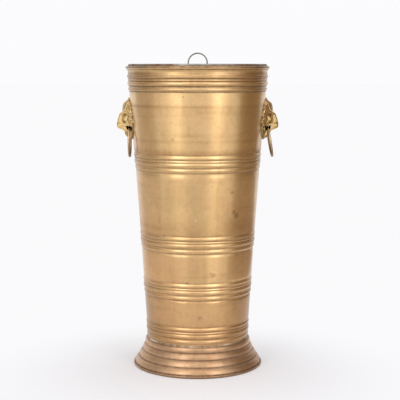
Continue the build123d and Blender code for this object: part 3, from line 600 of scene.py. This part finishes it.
def solder_ring():
    """Lumpy fillet of uneven height in the corner of the wall and the foot's shoulder."""
    turns = 300
    bm = bmesh.new()
    layer = bm.verts.layers.float.new("grime_and_shade")
    rows = []
    for step in range(turns):
        turn = 2.0 * math.pi * step / turns
        spot = Vector((math.cos(turn) * 5.0, math.sin(turn) * 5.0, 0.0))
        wander = noise.noise(spot) + 0.5 * noise.noise(spot * 3.1)
        scraped = sum(bell(math.degrees(turn) - place, spread) for place, spread in SCRAPED_PLACES)
        rise = SOLDER_RISE * (0.8 + 0.35 * wander)
        ledge = SHOULDER_R - 0.1 + 0.12 * noise.noise(spot * 2.0)
        toe = NECK_Z + SOLDER_TOE
        section = [(NECK_R + 0.06, NECK_Z + 0.02), (ledge, NECK_Z + 0.02), (ledge - 0.15, toe)]
        for part in range(1, 5):
            share = part / 5
            rough = 1.0 + 0.8 * noise.noise(spot * 4.0 + Vector((0.0, 0.0, share * 2.0)))
            fillet = 0.16 * math.sin(math.pi * share) * rough
            section.append((ledge - 0.15 + (NECK_R + 0.2 - ledge) * share - fillet,
                            toe + (rise - SOLDER_TOE) * share))
        top = NECK_Z + rise
        section += [(wall_radius(top) + 0.1, top), (wall_radius(top) + 0.05, top - 0.05)]
        row = []
        for radius, z in section:
            radius = max(radius, wall_radius(z) + 0.05)
            vert = bm.verts.new((radius * math.cos(turn) * MM, radius * math.sin(turn) * MM, z * MM))
            vert[layer] = max(0.0, 0.8 + 0.2 * wander - 0.85 * scraped)
            row.append(vert)
        rows.append(row)
    join_rows(bm, rows + rows[:1])
    piece = add_piece("neck_solder_line", bm)
    smooth_mesh(piece.data, 45.0)
    return piece


solder = solder_ring()
solder.data.materials.append(brass_material(
    "wiped_solder",
    {"Bright": (0.85, 0.78, 0.66), "Brown": (0.48, 0.31, 0.17), "Dark": (0.22, 0.13, 0.065),
     "Olive": (0.66, 0.55, 0.38), "Copper": (0.66, 0.48, 0.31)},
    brown_share=0.4, tint_share=0.6, cloud_size=60.0, polish=0.34, scuffed=1.0, bump=0.4))
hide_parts("neck_solder")
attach(solder, "stand")

# Base plate: a dished brass disc on top of the spigot, which closes the body. It shows from underneath,
# where it was never polished, so it is dull and brown.
PLATE_R, PLATE_TOP, PLATE_SHEET, PLATE_DISH, PLATE_BORDER = 83.7, 57.2, 1.2, 1.5, 12.0


def plate_outline():
    bend = PLATE_R - PLATE_BORDER
    top = [(PLATE_R, PLATE_TOP), (bend + 1.0, PLATE_TOP), (bend - 0.4, PLATE_TOP - 0.5),
           (bend - PLATE_DISH, PLATE_TOP - PLATE_DISH)]
    top += [(bend * share, PLATE_TOP - PLATE_DISH) for share in (0.8, 0.6, 0.4, 0.2, 0.0)]
    return top + [(r, z - PLATE_SHEET) for r, z in reversed(top)]


def plate_dirt(radius, z):
    """Dirt in the bend of the dish and along the rim."""
    bend = 0.5 * bell(radius - PLATE_R + PLATE_BORDER, 2.5)
    return 0.3 + bend + 0.4 * bell(radius - PLATE_R, 4.0)


plate = turned_piece("base_disc", plate_outline(), plate_dirt, turns=128)
plate.data.materials.append(brass_material(
    "dull_plate_brass",
    {"Bright": (0.5, 0.34, 0.16), "Brown": (0.24, 0.14, 0.07), "Dark": (0.05, 0.035, 0.02),
     "Olive": (0.36, 0.28, 0.15), "Copper": (0.45, 0.27, 0.15)},
    brown_share=0.6, tint_share=0.7, cloud_size=22.0, polish=0.42, scuffed=1.0, bump=0.35))
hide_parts("base_plate")
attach(plate, "stand")

# Lion masks: brass castings, chased and polished bright on the face and left dark between the locks of
# the mane. A waisted hole runs across each mouth, and the jaw below it passes through the ring.
MASK_Z, MASK_WIDE, MASK_TALL = 412.5, 57.0, 69.0
MASK_EDGE, MANE_SWELL = 2.2, 2.6
MANE_LOCKS, LOCK_SCALLOP = 14, 0.9
MASK_GAP = 0.05
PANEL_LOW, PANEL_HIGH = 356.7, 458.3
RING_PLACE, LEFT_RING_SHIFT, RIGHT_RING_SHIFT = (111.717, 398.2), 0.9, 4.0
RING_WIRE, RING_R, RING_SWING_IN = 1.9, 24.1, 4.0
MOUTH_ROOM, MOUTH_HALF, MOUTH_CORNER = 2.1, 10.9, 5.7
MOUTH_SPOKES, MOUTH_TURN = 40, 0.37
JAW_HALF = 10.6
HEAD_HALF_WIDE, HEAD_HALF_TALL, HEAD_LIFT, HEAD_RISE = 18.5, 29.5, 3.5, 8.6
SNOUT_HALF, MUZZLE_HALF, MUZZLE_TOP = 5.0, 9.6, -6.0
# Profile of the head from the crown over the nose and the mouth to the beard, as (up, height over the wall)
HEAD_PROFILE = ((34.5, 1.6), (31.0, 3.0), (27.0, 9.6), (22.0, 12.3), (12.0, 14.6), (7.5, 19.0), (0.0, 23.2),
                (-8.0, 24.3), (-14.0, 23.8), (-17.2, 21.0), (-20.0, 13.8), (-26.0, 11.8), (-31.0, 8.0),
                (-34.5, 1.6))
# Paired forms of the face: brow, eye socket and cheek; ear, its hollow and wing of the nose; lip pad,
# nostril and frown line; hollow under the cheek, whisker pad and groove behind the cheek. Each is given as
# across, up, spread across, spread up, rise, and climb for each millimetre outwards.
FACE_FORMS = (
    (8.0, 10.2, 3.8, 2.2, 3.2, 0.35), (8.4, 5.2, 3.4, 2.2, -4.2, 0.35), (13.0, -0.8, 3.8, 3.9, 5.2, 0.0),
    (17.5, 18.5, 3.2, 3.4, 4.6, 0.0), (17.3, 18.0, 1.5, 1.8, -3.4, 0.0), (4.0, -8.6, 2.4, 2.4, 1.4, 0.0),
    (5.6, -14.0, 3.0, 3.2, 2.8, 0.0), (2.5, -10.8, 0.9, 0.7, -1.8, 0.2), (1.7, 12.8, 0.55, 2.6, -0.7, 0.0),
    (8.8, -5.2, 2.8, 1.7, -2.4, 0.12), (8.6, -9.6, 2.6, 2.4, 1.4, 0.0), (17.6, -2.0, 0.9, 5.0, -1.6, 0.0),
)
# Groove of the upper lip, as (half width, up, half height, depth), the eyes, and the size of a whisker pit
PHILTRUM = (0.55, -14.6, 2.6, 1.3)
EYE_OUT, EYE_UP, EYE_HALF_WIDE, EYE_HALF_TALL, EYE_SLANT = 8.6, 4.9, 2.7, 1.45, 0.35
WHISKER_PIT = 0.45


def mask_wall(z):
    low, high = wall_radius(PANEL_LOW), wall_radius(PANEL_HIGH)
    return low + (high - low) * (z - PANEL_LOW) / (PANEL_HIGH - PANEL_LOW)


def soft_step(value):
    return 0.5 + 0.5 * np.tanh(0.5 * value)


def mask_edge(turn):
    half_tall, half_wide = MASK_TALL / 2 - LOCK_SCALLOP, MASK_WIDE / 2 - LOCK_SCALLOP
    return np.hypot(half_tall * np.cos(turn), half_wide * np.sin(turn))


def edge_share(u, v):
    """How far out to the edge of the mask a place lies, from 0 to 1."""
    return np.minimum(np.hypot(u, v) / mask_edge(np.arctan2(u, v)), 1.0)


def forms_height(u, v):
    total = np.zeros_like(u)
    for across, up, wide, tall, rise, climb in FACE_FORMS:
        level = up + climb * (np.abs(u) - across)
        for place in (across, -across):
            total += rise * np.exp(-0.5 * (((u - place) / wide) ** 2 + ((v - level) / tall) ** 2))
    return total


def head_profile(v):
    """Height of the head along its middle, with the corners of the profile rounded."""
    up, height = zip(*reversed(HEAD_PROFILE))
    return sum(np.interp(v + shift, up, height) for shift in (-1.2, -0.4, 0.4, 1.2)) / 4


def head_dome(u, v):
    """Mane and rounded head, without the snout and the face."""
    share = edge_share(u, v)
    oval = np.minimum((u / HEAD_HALF_WIDE) ** 2 + ((v - HEAD_LIFT) / HEAD_HALF_TALL) ** 2, 1.0)
    return MASK_EDGE + MANE_SWELL * (1.0 - share ** 2) + HEAD_RISE * (1.0 - oval) ** 0.85


def mane_locks(u, v):
    """Two rows of locks that sweep out from the face, each with a few strands."""
    turn = np.arctan2(u, v)
    share = edge_share(u, v)
    oval = np.sqrt((u / HEAD_HALF_WIDE) ** 2 + ((v - HEAD_LIFT) / HEAD_HALF_TALL) ** 2)
    sweep = turn + 0.1 * np.sin(5.0 * share) * np.sign(u)
    outer = np.abs(np.cos(MANE_LOCKS / 2 * sweep)) ** 0.7
    inner = np.abs(np.sin(MANE_LOCKS / 2 * sweep)) ** 0.7
    row = soft_step((0.83 - share) / 0.02)
    strands = np.cos(MANE_LOCKS * 2.5 * sweep)
    height = (1.9 * outer - 0.5) * (1.0 - row) + (1.6 * inner + 0.5) * row + 0.14 * strands
    height -= 1.1 * np.exp(-((share - 1.0) / 0.05) ** 2)
    return height * soft_step((oval - 0.97) / 0.035)


def lion_relief(u, v):
    """Height of the casting above the wall, in millimetres, at places across and up from its middle."""
    widening = soft_step((MUZZLE_TOP - v) / 1.5)
    half = SNOUT_HALF + (MUZZLE_HALF - SNOUT_HALF) * widening
    snout = (head_profile(v) - head_dome(0.0 * u, v)) * np.exp(-np.abs(u / half) ** 3)
    height = head_dome(u, v) + snout + forms_height(u, v) + mane_locks(u, v)
    wide, level, tall, depth = PHILTRUM
    height -= depth * np.exp(-((u / wide) ** 2 + ((v - level) / tall) ** 4))
    # Eyes: a ball between two lids, set on the slant of the brow
    for side in (-1, 1):
        out = side * u - EYE_OUT
        almond = np.hypot(out / EYE_HALF_WIDE, (v - EYE_UP - EYE_SLANT * out) / EYE_HALF_TALL)
        height += 2.0 * np.sqrt(np.clip(1.0 - almond ** 2, 0.0, 1.0))
        height += 0.6 * np.exp(-((almond - 1.2) / 0.18) ** 2)
    # Rows of whisker pits on the lip pads, then hair on the beard and over the brow
    for row in range(3):
        for spot in range(3):
            place = 4.4 + 1.8 * spot + 0.4 * row
            for side in (-1, 1):
                away = ((u - side * place) / WHISKER_PIT) ** 2 + ((v + 12.2 + 1.6 * row) / WHISKER_PIT) ** 2
                height -= 0.4 * np.exp(-away)
    beard = soft_step((-20.8 - v) / 0.8) * soft_step((9.0 - np.abs(u)) / 0.8)
    height += 0.35 * beard * np.cos(2.1 * u + 0.6 * np.sin(0.7 * v))
    tuft = soft_step((v - 15.5) / 1.2) * soft_step((8.5 - np.abs(u)) / 1.2)
    height += 0.45 * tuft * np.cos(1.55 * u * (1.0 - 0.012 * v))
    # The sides of the jaw drop to the flat behind the ring
    beside = soft_step((np.abs(u) - 9.8) / 0.45) * soft_step((-12.4 - v) / 0.6)
    return np.maximum(height + (1.25 - height) * beside, 0.9)


def mask_blank():
    """The casting for the right side before its mouth is cut: front over a polar grid, back on the wall."""
    turns, rings = 288, 84
    compass = [math.pi / 4 * step for step in range(8)]
    turn = np.linspace(0.0, 2.0 * math.pi, turns, endpoint=False)
    edge = mask_edge(turn) + LOCK_SCALLOP * np.cos(MANE_LOCKS * turn)
    bm = bmesh.new()
    layer = bm.verts.layers.float.new("grime_and_shade")
    rows = []
    levels = [(ring / rings, 1.0) for ring in range(1, rings + 1)]
    levels += [(1.0, 0.6), (1.0, 0.25)] + [(ring / 12, 0.0) for ring in range(12, 0, -1)]
    for share, front in levels:
        u, v = edge * share * np.sin(turn), edge * share * np.cos(turn)
        relief = lion_relief(u, v)
        # Dirt where the relief is lower than round about, near and further off, and more on crown and beard
        hollow = 0.0
        for reach, depth in ((0.9, 0.35), (2.4, 1.7)):
            near = [lion_relief(u + reach * math.cos(a), v + reach * math.sin(a)) for a in compass]
            hollow = hollow + np.clip((sum(near) / len(near) - relief) / depth - 0.12, 0.0, 1.0)
        hollow = hollow + 0.22 * soft_step((v - 15.0) / 2.0) + 0.3 * soft_step((-20.5 - v) / 1.5)
        hollow = np.clip(hollow, 0.0, 0.8)
        row = []
        for du, dv, height, dirt in zip(u, v, relief, hollow):
            z = MASK_Z + dv
            out = math.sqrt(mask_wall(z) ** 2 - du ** 2) + MASK_GAP + (height - MASK_GAP) * front
            vert = bm.verts.new((out * MM, du * MM, z * MM))
            # Painted shade: the sides of the casting down to the wall, and its back, are made dark
            vert[layer] = dirt if front == 1.0 else 0.8
            row.append(vert)
        rows.append(row)
    for first, second in zip(rows, rows[1:]):
        for step in range(turns):
            after = (step + 1) % turns
            bm.faces.new([first[step], second[step], second[after], first[after]])
    for row in (rows[0], rows[-1]):
        middle = bm.verts.new(sum((vert.co for vert in row), Vector()) / turns)
        middle[layer] = 0.0
        for step in range(turns):
            bm.faces.new([middle, row[step], row[(step + 1) % turns]])
    return add_piece("lion_casting", bm)


def mouth_cutter(shift):
    """Waisted plug along the line that a ring swings on."""
    bm = bmesh.new()
    rows = []
    for step in range(-12, 13):
        across = step / 12
        radius = MOUTH_ROOM + (MOUTH_CORNER - MOUTH_ROOM) * across ** 2
        row = []
        for spoke in range(MOUTH_SPOKES):
            turn = 2.0 * math.pi * (spoke + MOUTH_TURN) / MOUTH_SPOKES
            out = RING_PLACE[0] + shift + radius * math.cos(turn)
            up = RING_PLACE[1] + radius * math.sin(turn)
            row.append(bm.verts.new((out * MM, across * MOUTH_HALF * MM, up * MM)))
        rows.append(row)
    join_rows(bm, rows)
    bm.faces.new(rows[0])
    bm.faces.new(rows[-1])
    return add_piece("mouth_cutter", bm)


def block_cutter(corners, start, end):
    """Block with an outline of (out, height) corners, from one place across to another."""
    bm = bmesh.new()
    rows = [[bm.verts.new((x * MM, y * MM, z * MM)) for x, z in corners] for y in (start, end)]
    bm.faces.new(rows[0])
    bm.faces.new(rows[1])
    join_rows(bm, rows)
    return add_piece("block_cutter", bm)


def mouth_cutters(shift):
    """Everything that a ring needs cut away: its place in the mouth, and the sides of the jaw, which lean
    in as far as it swings."""
    out, level = RING_PLACE
    inner, top, reach = out - MOUTH_ROOM, level + MOUTH_ROOM, MASK_WIDE
    lean = reach * math.tan(math.radians(RING_SWING_IN))
    side = [(inner, top), (inner + reach, top), (inner + reach, top - reach), (inner - lean, top - reach)]
    return [mouth_cutter(shift), block_cutter(side, -JAW_HALF, -reach), block_cutter(side, JAW_HALF, reach)]


def cut_mask(name, side, shift):
    """Casting with its mouth cut, as made for the right side or turned over for the left."""
    casting = mask_blank()
    cutters = mouth_cutters(shift)
    for cutter in cutters:
        cut = casting.modifiers.new("cut", "BOOLEAN")
        cut.object, cut.operation, cut.solver = cutter, "DIFFERENCE", "EXACT"
    shaped = casting.evaluated_get(bpy.context.evaluated_depsgraph_get())
    bm = bmesh.new()
    bm.from_mesh(bpy.data.meshes.new_from_object(shaped))
    for spare in [casting] + cutters:
        bpy.data.objects.remove(spare)
    # Painted shade: the inside of the mouth is painted black
    layer = bm.verts.layers.float["grime_and_shade"]
    for vert in bm.verts:
        across = vert.co.y / (MOUTH_HALF * MM)
        room = MOUTH_ROOM + (MOUTH_CORNER - MOUTH_ROOM) * across ** 2
        away = math.hypot(vert.co.x - (RING_PLACE[0] + shift) * MM, vert.co.z - RING_PLACE[1] * MM)
        if abs(across) < 1.0 and away < (room + 0.1) * MM:
            vert[layer] = 1.0
    if side < 0:
        bmesh.ops.scale(bm, vec=(-1.0, 1.0, 1.0), verts=bm.verts)
    piece = add_piece(name, bm)
    smooth_mesh(piece.data, 55.0)
    return piece


MASK_BRASS = brass_material(
    "bright_mask_brass",
    {"Bright": (0.9, 0.65, 0.3), "Brown": (0.46, 0.27, 0.11), "Dark": (0.14, 0.072, 0.024),
     "Olive": (0.64, 0.46, 0.19), "Copper": (0.8, 0.48, 0.26)},
    brown_share=0.16, tint_share=0.6, cloud_size=45.0, polish=0.1, scuffed=0.4, bump=0.08)
for name, side, shift in (("left", -1, LEFT_RING_SHIFT), ("right", 1, RIGHT_RING_SHIFT)):
    mask = cut_mask(name + "_lion_casting", side, shift)
    mask.data.materials.append(MASK_BRASS)
    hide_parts(name + "_lion_mask")
    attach(mask, "stand")

# Mask screws and washers: two slotted steel screws to each mask, put in from inside the body with a flat
# washer under each head. The liner hides them.
SCREW_STEEL = metal_material("dull_screw_steel", (0.42, 0.4, 0.38), (0.2, 0.17, 0.14), 0.38)
for node in ("left_mask_screws", "right_mask_screws", "left_mask_washers", "right_mask_washers"):
    dress_node(node, SCREW_STEEL)

# Rings: brass wire bent round and closed with a butt joint, hanging loose in the lions' mouths.
# They are brown from handling, most at the bottom, where hands hold them.
RIGHT_RING_TILT, RING_JOINT = 9.5, 38.0


def wire_ring(name, side, tilt, shift):
    """Ring as it hangs, tilted outwards, with a fine groove at its joint."""
    turns, spokes = 160, 28
    bm = bmesh.new()
    layer = bm.verts.layers.float.new("grime_and_shade")
    rows = []
    swing = Matrix.Rotation(math.radians(-tilt), 3, "Y")
    for step in range(turns):
        turn = 2.0 * math.pi * step / turns
        joint = bell(math.degrees(turn) - RING_JOINT, 1.1)
        held = bell(turn - math.pi, 0.8)
        waver = noise.noise(Vector((math.cos(turn) * 6, math.sin(turn) * 6, 0)))
        wire = RING_WIRE * (1.0 - 0.11 * joint + 0.012 * waver)
        row = []
        for spoke in range(spokes):
            round_wire = 2.0 * math.pi * spoke / spokes
            reach = RING_R + wire * math.cos(round_wire)
            spot = swing @ Vector((wire * math.sin(round_wire), reach * math.sin(turn),
                                   -RING_R - reach * math.cos(turn + math.pi)))
            out = RING_PLACE[0] + shift + spot.x
            vert = bm.verts.new((side * out * MM, spot.y * MM, (RING_PLACE[1] + spot.z) * MM))
            vert[layer] = min(1.0, 0.9 * joint + 0.45 * held + 0.15 - 0.15 * math.cos(round_wire))
            row.append(vert)
        rows.append(row)
    join_rows(bm, rows + rows[:1])
    piece = add_piece(name, bm)
    smooth_mesh(piece.data, 60.0)
    return piece


RING_BRASS = brass_material(
    "handled_ring_brass",
    {"Bright": (0.56, 0.42, 0.26), "Brown": (0.27, 0.185, 0.115), "Dark": (0.06, 0.04, 0.025),
     "Olive": (0.4, 0.33, 0.22), "Copper": (0.5, 0.34, 0.22)},
    brown_share=0.45, tint_share=0.6, cloud_size=70.0, polish=0.26, scuffed=0.7)
for name, side, tilt, shift in (("left_ring", -1, 0.0, LEFT_RING_SHIFT),
                                ("right_ring", 1, RIGHT_RING_TILT, RIGHT_RING_SHIFT)):
    ring = wire_ring(name + "_wire", side, tilt, shift)
    ring.data.materials.append(RING_BRASS)
    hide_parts(name)
    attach(ring, name)

# Liner: a tapered can of galvanised sheet steel with its top edge rolled over a wire. It hangs by that
# bead on the brass lip. The zinc has gone dark and streaky, and rust shows low down inside.
LINER_SHEET = 0.7
LINER_LOW, LINER_LOW_R, LINER_MOUTH_R = 61.2, 82.6, 109.988
LINER_BEAD_R, LINER_BEAD_Z, LINER_BEAD = 111.788, 499.5, 2.5
RUST_HEIGHT = 260.0


def liner_radius(z):
    return LINER_LOW_R + (LINER_MOUTH_R - LINER_LOW_R) * (z - LINER_LOW) / (LINER_BEAD_Z - LINER_LOW)


def liner_outline():
    outer = [(liner_radius(z), z) for z in (LINER_LOW + 14.0 * step for step in range(31))]
    inside = [(r - LINER_SHEET, z) for r, z in reversed(outer)]
    bead = arc_points((LINER_BEAD_R, LINER_BEAD_Z), LINER_BEAD, -128.0, 180.0, 40)
    return outer + bead + inside


def liner_dirt(radius, z):
    """Dirt and rust, most of it near the bottom and on the bead."""
    deep = max(0.0, 1.0 - (z - LINER_LOW) / RUST_HEIGHT)
    return min(1.0, 0.15 + 0.5 * deep ** 2 + (0.7 if z > LINER_BEAD_Z - LINER_BEAD else 0.0))


def zinc_group():
    """Galvanised skin: crystals of zinc, dull bloom and streaks that run down."""
    tree, given, gives = shader_group(
        "old_zinc",
        {"Light": (0.45, 0.44, 0.42, 1.0), "Dull": (0.2, 0.18, 0.15, 1.0), "Rust": (0.2, 0.09, 0.035, 1.0),
         "Rust share": 0.0},
        {"Color": "Color", "Roughness": "Float", "Height": "Float"})
    place = add_node(tree, "TexCoord").outputs["Object"]
    crystal = add_node(tree, "TexVoronoi", {"Vector": place, "Scale": 130.0}, feature="F1").outputs["Color"]
    facet = add_node(tree, "SeparateColor", {"Color": crystal}).outputs[0]
    bloom = noise_mask(tree, place, 20.0, 0.35, 0.7, detail=6.0)
    streak = noise_mask(tree, stretched(tree, place, (60.0, 60.0, 5.0)), 1.0, 0.45, 0.75)
    worn = arithmetic(tree, "MULTIPLY", arithmetic(tree, "ADD", bloom, streak), 0.45)
    shade = arithmetic(tree, "MULTIPLY_ADD", facet, 0.3, worn)
    colour = blend_colour(tree, shade, given["Light"], given["Dull"])
    rust = noise_mask(tree, place, 26.0, 0.45, 0.62, detail=7.0, roughness=0.7)
    rust = arithmetic(tree, "MULTIPLY", rust, given["Rust share"], clamp=True)
    colour = blend_colour(tree, rust, colour, given["Rust"])
    rough = arithmetic(tree, "MULTIPLY_ADD", shade, 0.2, 0.34)
    rough = arithmetic(tree, "ADD", rough, arithmetic(tree, "MULTIPLY", rust, 0.35), clamp=True)
    height = arithmetic(tree, "ADD", arithmetic(tree, "MULTIPLY", facet, 0.25), rust)
    for key, value in (("Color", colour), ("Roughness", rough), ("Height", height)):
        tree.links.new(value, gives[key])
    return tree


OLD_ZINC = zinc_group()


def zinc_material(name, light, dull, rust, bump):
    """Old zinc with its own tones, how far its dirt shows as rust, and how strong its relief is."""
    material, tree, surface = metal_surface(name, 0.85)
    skin = add_node(tree, "Group", {"Light": (*light, 1.0), "Dull": (*dull, 1.0)}, node_tree=OLD_ZINC)
    dirt = add_node(tree, "Attribute", attribute_name="grime_and_shade").outputs["Fac"]
    tree.links.new(arithmetic(tree, "MULTIPLY", dirt, rust), skin.inputs["Rust share"])
    tree.links.new(skin.outputs["Color"], surface.inputs["Base Color"])
    tree.links.new(skin.outputs["Roughness"], surface.inputs["Roughness"])
    add_relief(tree, surface, skin.outputs["Height"], bump, 0.0003)
    return material


LINER_ZINC = zinc_material("dark_liner_zinc", (0.33, 0.3, 0.26), (0.15, 0.12, 0.09), 0.9, 0.2)
liner = turned_piece("liner_can", liner_outline(), liner_dirt)
liner.data.materials.append(LINER_ZINC)
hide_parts("liner_shell")
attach(liner, "liner")

# Liner bottom: a steel disc with its edge turned down, soldered inside the can. It is the rustiest part,
# because wet umbrellas stand on it.
FLOOR_Z, FLOOR_R, FLOOR_FLANGE, FLOOR_BEND = 65.2, 81.85, 3.6, 0.9


def floor_outline():
    bend = arc_points((FLOOR_R - FLOOR_BEND, FLOOR_Z - FLOOR_BEND), FLOOR_BEND, 90.0, 0.0, 6)
    top = [(FLOOR_R * share, FLOOR_Z) for share in (0.0, 0.2, 0.4, 0.6, 0.8)] + bend
    edge, under = FLOOR_Z - FLOOR_FLANGE, FLOOR_Z - LINER_SHEET
    inside = FLOOR_R - LINER_SHEET
    return top + [(FLOOR_R, edge), (inside, edge), (inside, under), (0.0, under)]


def floor_dirt(radius, z):
    """Dirt and rust, most of it along the edge."""
    return min(1.0, 0.6 + 0.4 * (radius / FLOOR_R) ** 3)


FLOOR_ZINC = zinc_material("rusty_floor_zinc", (0.3, 0.27, 0.23), (0.14, 0.11, 0.08), 1.0, 0.35)
floor_disc = turned_piece("liner_floor", floor_outline(), floor_dirt, turns=128)
floor_disc.data.materials.append(FLOOR_ZINC)
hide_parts("liner_bottom")
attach(floor_disc, "liner")

# Loop clip, rivets and lifting loop: a steel strap rolled round the loop's bar and riveted inside the can,
# and a loop of galvanised wire that folds down into it.
CLIP_ZINC = zinc_material("clip_zinc", (0.5, 0.48, 0.45), (0.25, 0.22, 0.19), 0.0, 0.25)
for node in ("loop_clip", "clip_rivets"):
    dress_node(node, CLIP_ZINC)
dress_node("lift_loop", zinc_material("loop_zinc", (0.3, 0.285, 0.26), (0.15, 0.135, 0.115), 0.0, 0.2))

# Studio: a pale floor that fades into a white surround, soft light from overhead and over the camera, two
# tall soft boxes at the front, and glowing boards and floor cards, painted reflections that only the polished
# metal sees.
STUDIO_RADIUS, CARD_Z = 30.0, 0.01
SURROUND = (0.97, 0.97, 0.985, 1.0)


def studio_floor():
    bm = bmesh.new()
    bmesh.ops.create_circle(bm, cap_ends=True, segments=96, radius=STUDIO_RADIUS)
    return add_piece("studio_floor", bm)


def emptied_tree(owner):
    """Node tree of a material or of the world, with nothing in it yet."""
    owner.use_nodes = True
    owner.node_tree.nodes.clear()
    return owner.node_tree


def seen_rays(tree):
    """Mask of the rays that see the studio straight, in metal or through glass."""
    rays = add_node(tree, "LightPath").outputs
    seen = arithmetic(tree, "MAXIMUM", rays["Is Glossy Ray"], rays["Is Transmission Ray"])
    return arithmetic(tree, "MAXIMUM", rays["Is Camera Ray"], seen)


def pale_floor_material():
    """Paper round the stand, which takes its shadow, and plain white further off."""
    material = bpy.data.materials.new("pale_floor")
    tree = emptied_tree(material)
    place = add_node(tree, "TexCoord").outputs["Object"]
    middle = (0.0, -0.12, 0.0)
    away = add_node(tree, "VectorMath", {0: place, 1: middle}, operation="DISTANCE").outputs["Value"]
    far = add_node(tree, "MapRange", {"Value": away, "From Min": 0.08, "From Max": 0.42},
                   interpolation_type="SMOOTHSTEP").outputs["Result"]
    paper = add_node(tree, "BsdfDiffuse", {"Color": (0.88, 0.88, 0.905, 1.0)})
    white = add_node(tree, "Emission", {"Color": (0.955, 0.95, 0.965, 1.0), "Strength": 1.0})
    mixed = add_node(tree, "MixShader", {0: arithmetic(tree, "MULTIPLY", far, seen_rays(tree)),
                                         1: paper.outputs[0], 2: white.outputs[0]})
    tree.links.new(mixed.outputs[0], add_node(tree, "OutputMaterial").inputs["Surface"])
    return material


floor = studio_floor()
floor.data.materials.append(pale_floor_material())


def reflected_cards(name, corners, faces, colours):
    """Glowing cards, no lamps, that show only in reflections as painted reflections, one colour to each face.
    """
    bm = bmesh.new()
    verts = [bm.verts.new(corner) for corner in corners]
    for index, face in enumerate(faces):
        bm.faces.new([verts[corner] for corner in face]).material_index = index
    cards = add_piece(name, bm)
    for index, colour in enumerate(colours):
        material = bpy.data.materials.new(name + str(index + 1))
        tree = emptied_tree(material)
        glow = add_node(tree, "Emission", {"Color": (*colour, 1.0), "Strength": 1.0})
        tree.links.new(glow.outputs[0], add_node(tree, "OutputMaterial").inputs["Surface"])
        cards.data.materials.append(material)
    cards.visible_camera = False
    cards.visible_diffuse = False
    cards.visible_shadow = False


def side_boards(name, side, front, back, colours):
    """Glowing board upright beside the stand, with a second one sloping down from it to the floor near the
    stand, seen only in reflections.
    """
    edge = ((0.85, 1.6), (0.85, 0.22), (0.45, CARD_Z))
    corners = [(side * x, y, z) for y in (front, back) for x, z in edge]
    reflected_cards(name, corners, ((0, 1, 4, 3), (1, 2, 5, 4)), colours)


def floor_fan(name, sectors, near, far):
    """Glowing cards on the floor in front of the stand, painted reflections of the lit floor, as sectors of
    (start, end, colour) in degrees from the front."""
    corners, faces, colours = [], [], []
    for start, end, colour in sectors:
        for turn in (math.radians(start), math.radians(end)):
            corners += [(reach * math.sin(turn), -reach * math.cos(turn), CARD_Z) for reach in (near, far)]
        faces.append([len(corners) - 4, len(corners) - 3, len(corners) - 1, len(corners) - 2])
        colours.append(colour)
    reflected_cards(name, corners, faces, colours)


side_boards("left_board", -1, -0.27, 0.5, ((0.55, 0.5, 0.47), (0.78, 0.74, 0.72)))
side_boards("right_board", 1, -0.3, 0.72, ((0.3, 0.215, 0.14), (0.42, 0.34, 0.27)))
# Painted reflection: the bright sectors stand for the soft boxes' light on the floor
floor_fan("front_floor", ((-64.0, -39.0, (0.76, 0.74, 0.72)), (-39.0, -19.0, (0.95, 0.93, 0.91)),
                          (-19.0, 19.0, (0.76, 0.74, 0.73)), (19.0, 39.0, (1.18, 1.15, 1.1)),
                          (39.0, 64.0, (0.86, 0.84, 0.82))), 0.45, 1.7)


def soft_box(name, place, aim, wide, tall, power):
    lamp = bpy.data.lights.new(name, "AREA")
    lamp.shape, lamp.size, lamp.size_y, lamp.energy = "RECTANGLE", wide, tall, power
    box = bpy.data.objects.new(name, lamp)
    box.location = place
    box.rotation_euler = (Vector(aim) - Vector(place)).to_track_quat("-Z", "Y").to_euler()
    box.visible_camera = False
    bpy.context.scene.collection.objects.link(box)


soft_box("left_soft_box", (-1.02, -1.46, 0.95), (0.0, 0.0, 0.35), 0.76, 1.7, 8.4)
soft_box("right_soft_box", (1.03, -1.46, 0.95), (0.0, 0.0, 0.35), 0.73, 1.7, 9.3)
soft_box("front_soft_box", (0.0, -2.1, 1.65), (0.0, 0.0, 0.4), 3.2, 0.9, 5.6)
soft_box("overhead", (0.0, -0.2, 2.4), (0.0, 0.0, 0.0), 3.2, 3.2, 27.0)

world = bpy.data.worlds.new("white_surround")
bpy.context.scene.world = world
tree = emptied_tree(world)
fill = add_node(tree, "Background", {"Color": SURROUND, "Strength": 0.5})
white = add_node(tree, "Background", {"Color": SURROUND, "Strength": 1.0})
mixed = add_node(tree, "MixShader", {0: seen_rays(tree), 1: fill.outputs[0], 2: white.outputs[0]})
tree.links.new(mixed.outputs[0], add_node(tree, "OutputWorld").inputs["Surface"])
bpy.context.scene.view_settings.view_transform = "Standard"

# Camera: level with the rim, a little under two metres away and looking slightly down. Its lens is given by
# the focal length in pixels of a picture 400 pixels wide.
SENSOR_WIDE, PICTURE_WIDE, FOCAL_PIXELS, LOOK_DOWN = 36.0, 400.0, 1088.0, 6.97
camera = bpy.data.objects.new("camera", bpy.data.cameras.new("camera"))
camera.data.sensor_width = SENSOR_WIDE
camera.data.lens = SENSOR_WIDE * FOCAL_PIXELS / PICTURE_WIDE
camera.location = (0.004, -1.804, 0.497)
camera.rotation_euler = (math.radians(90.0 - LOOK_DOWN), 0.0, 0.0)
bpy.context.scene.collection.objects.link(camera)
bpy.context.scene.camera = camera
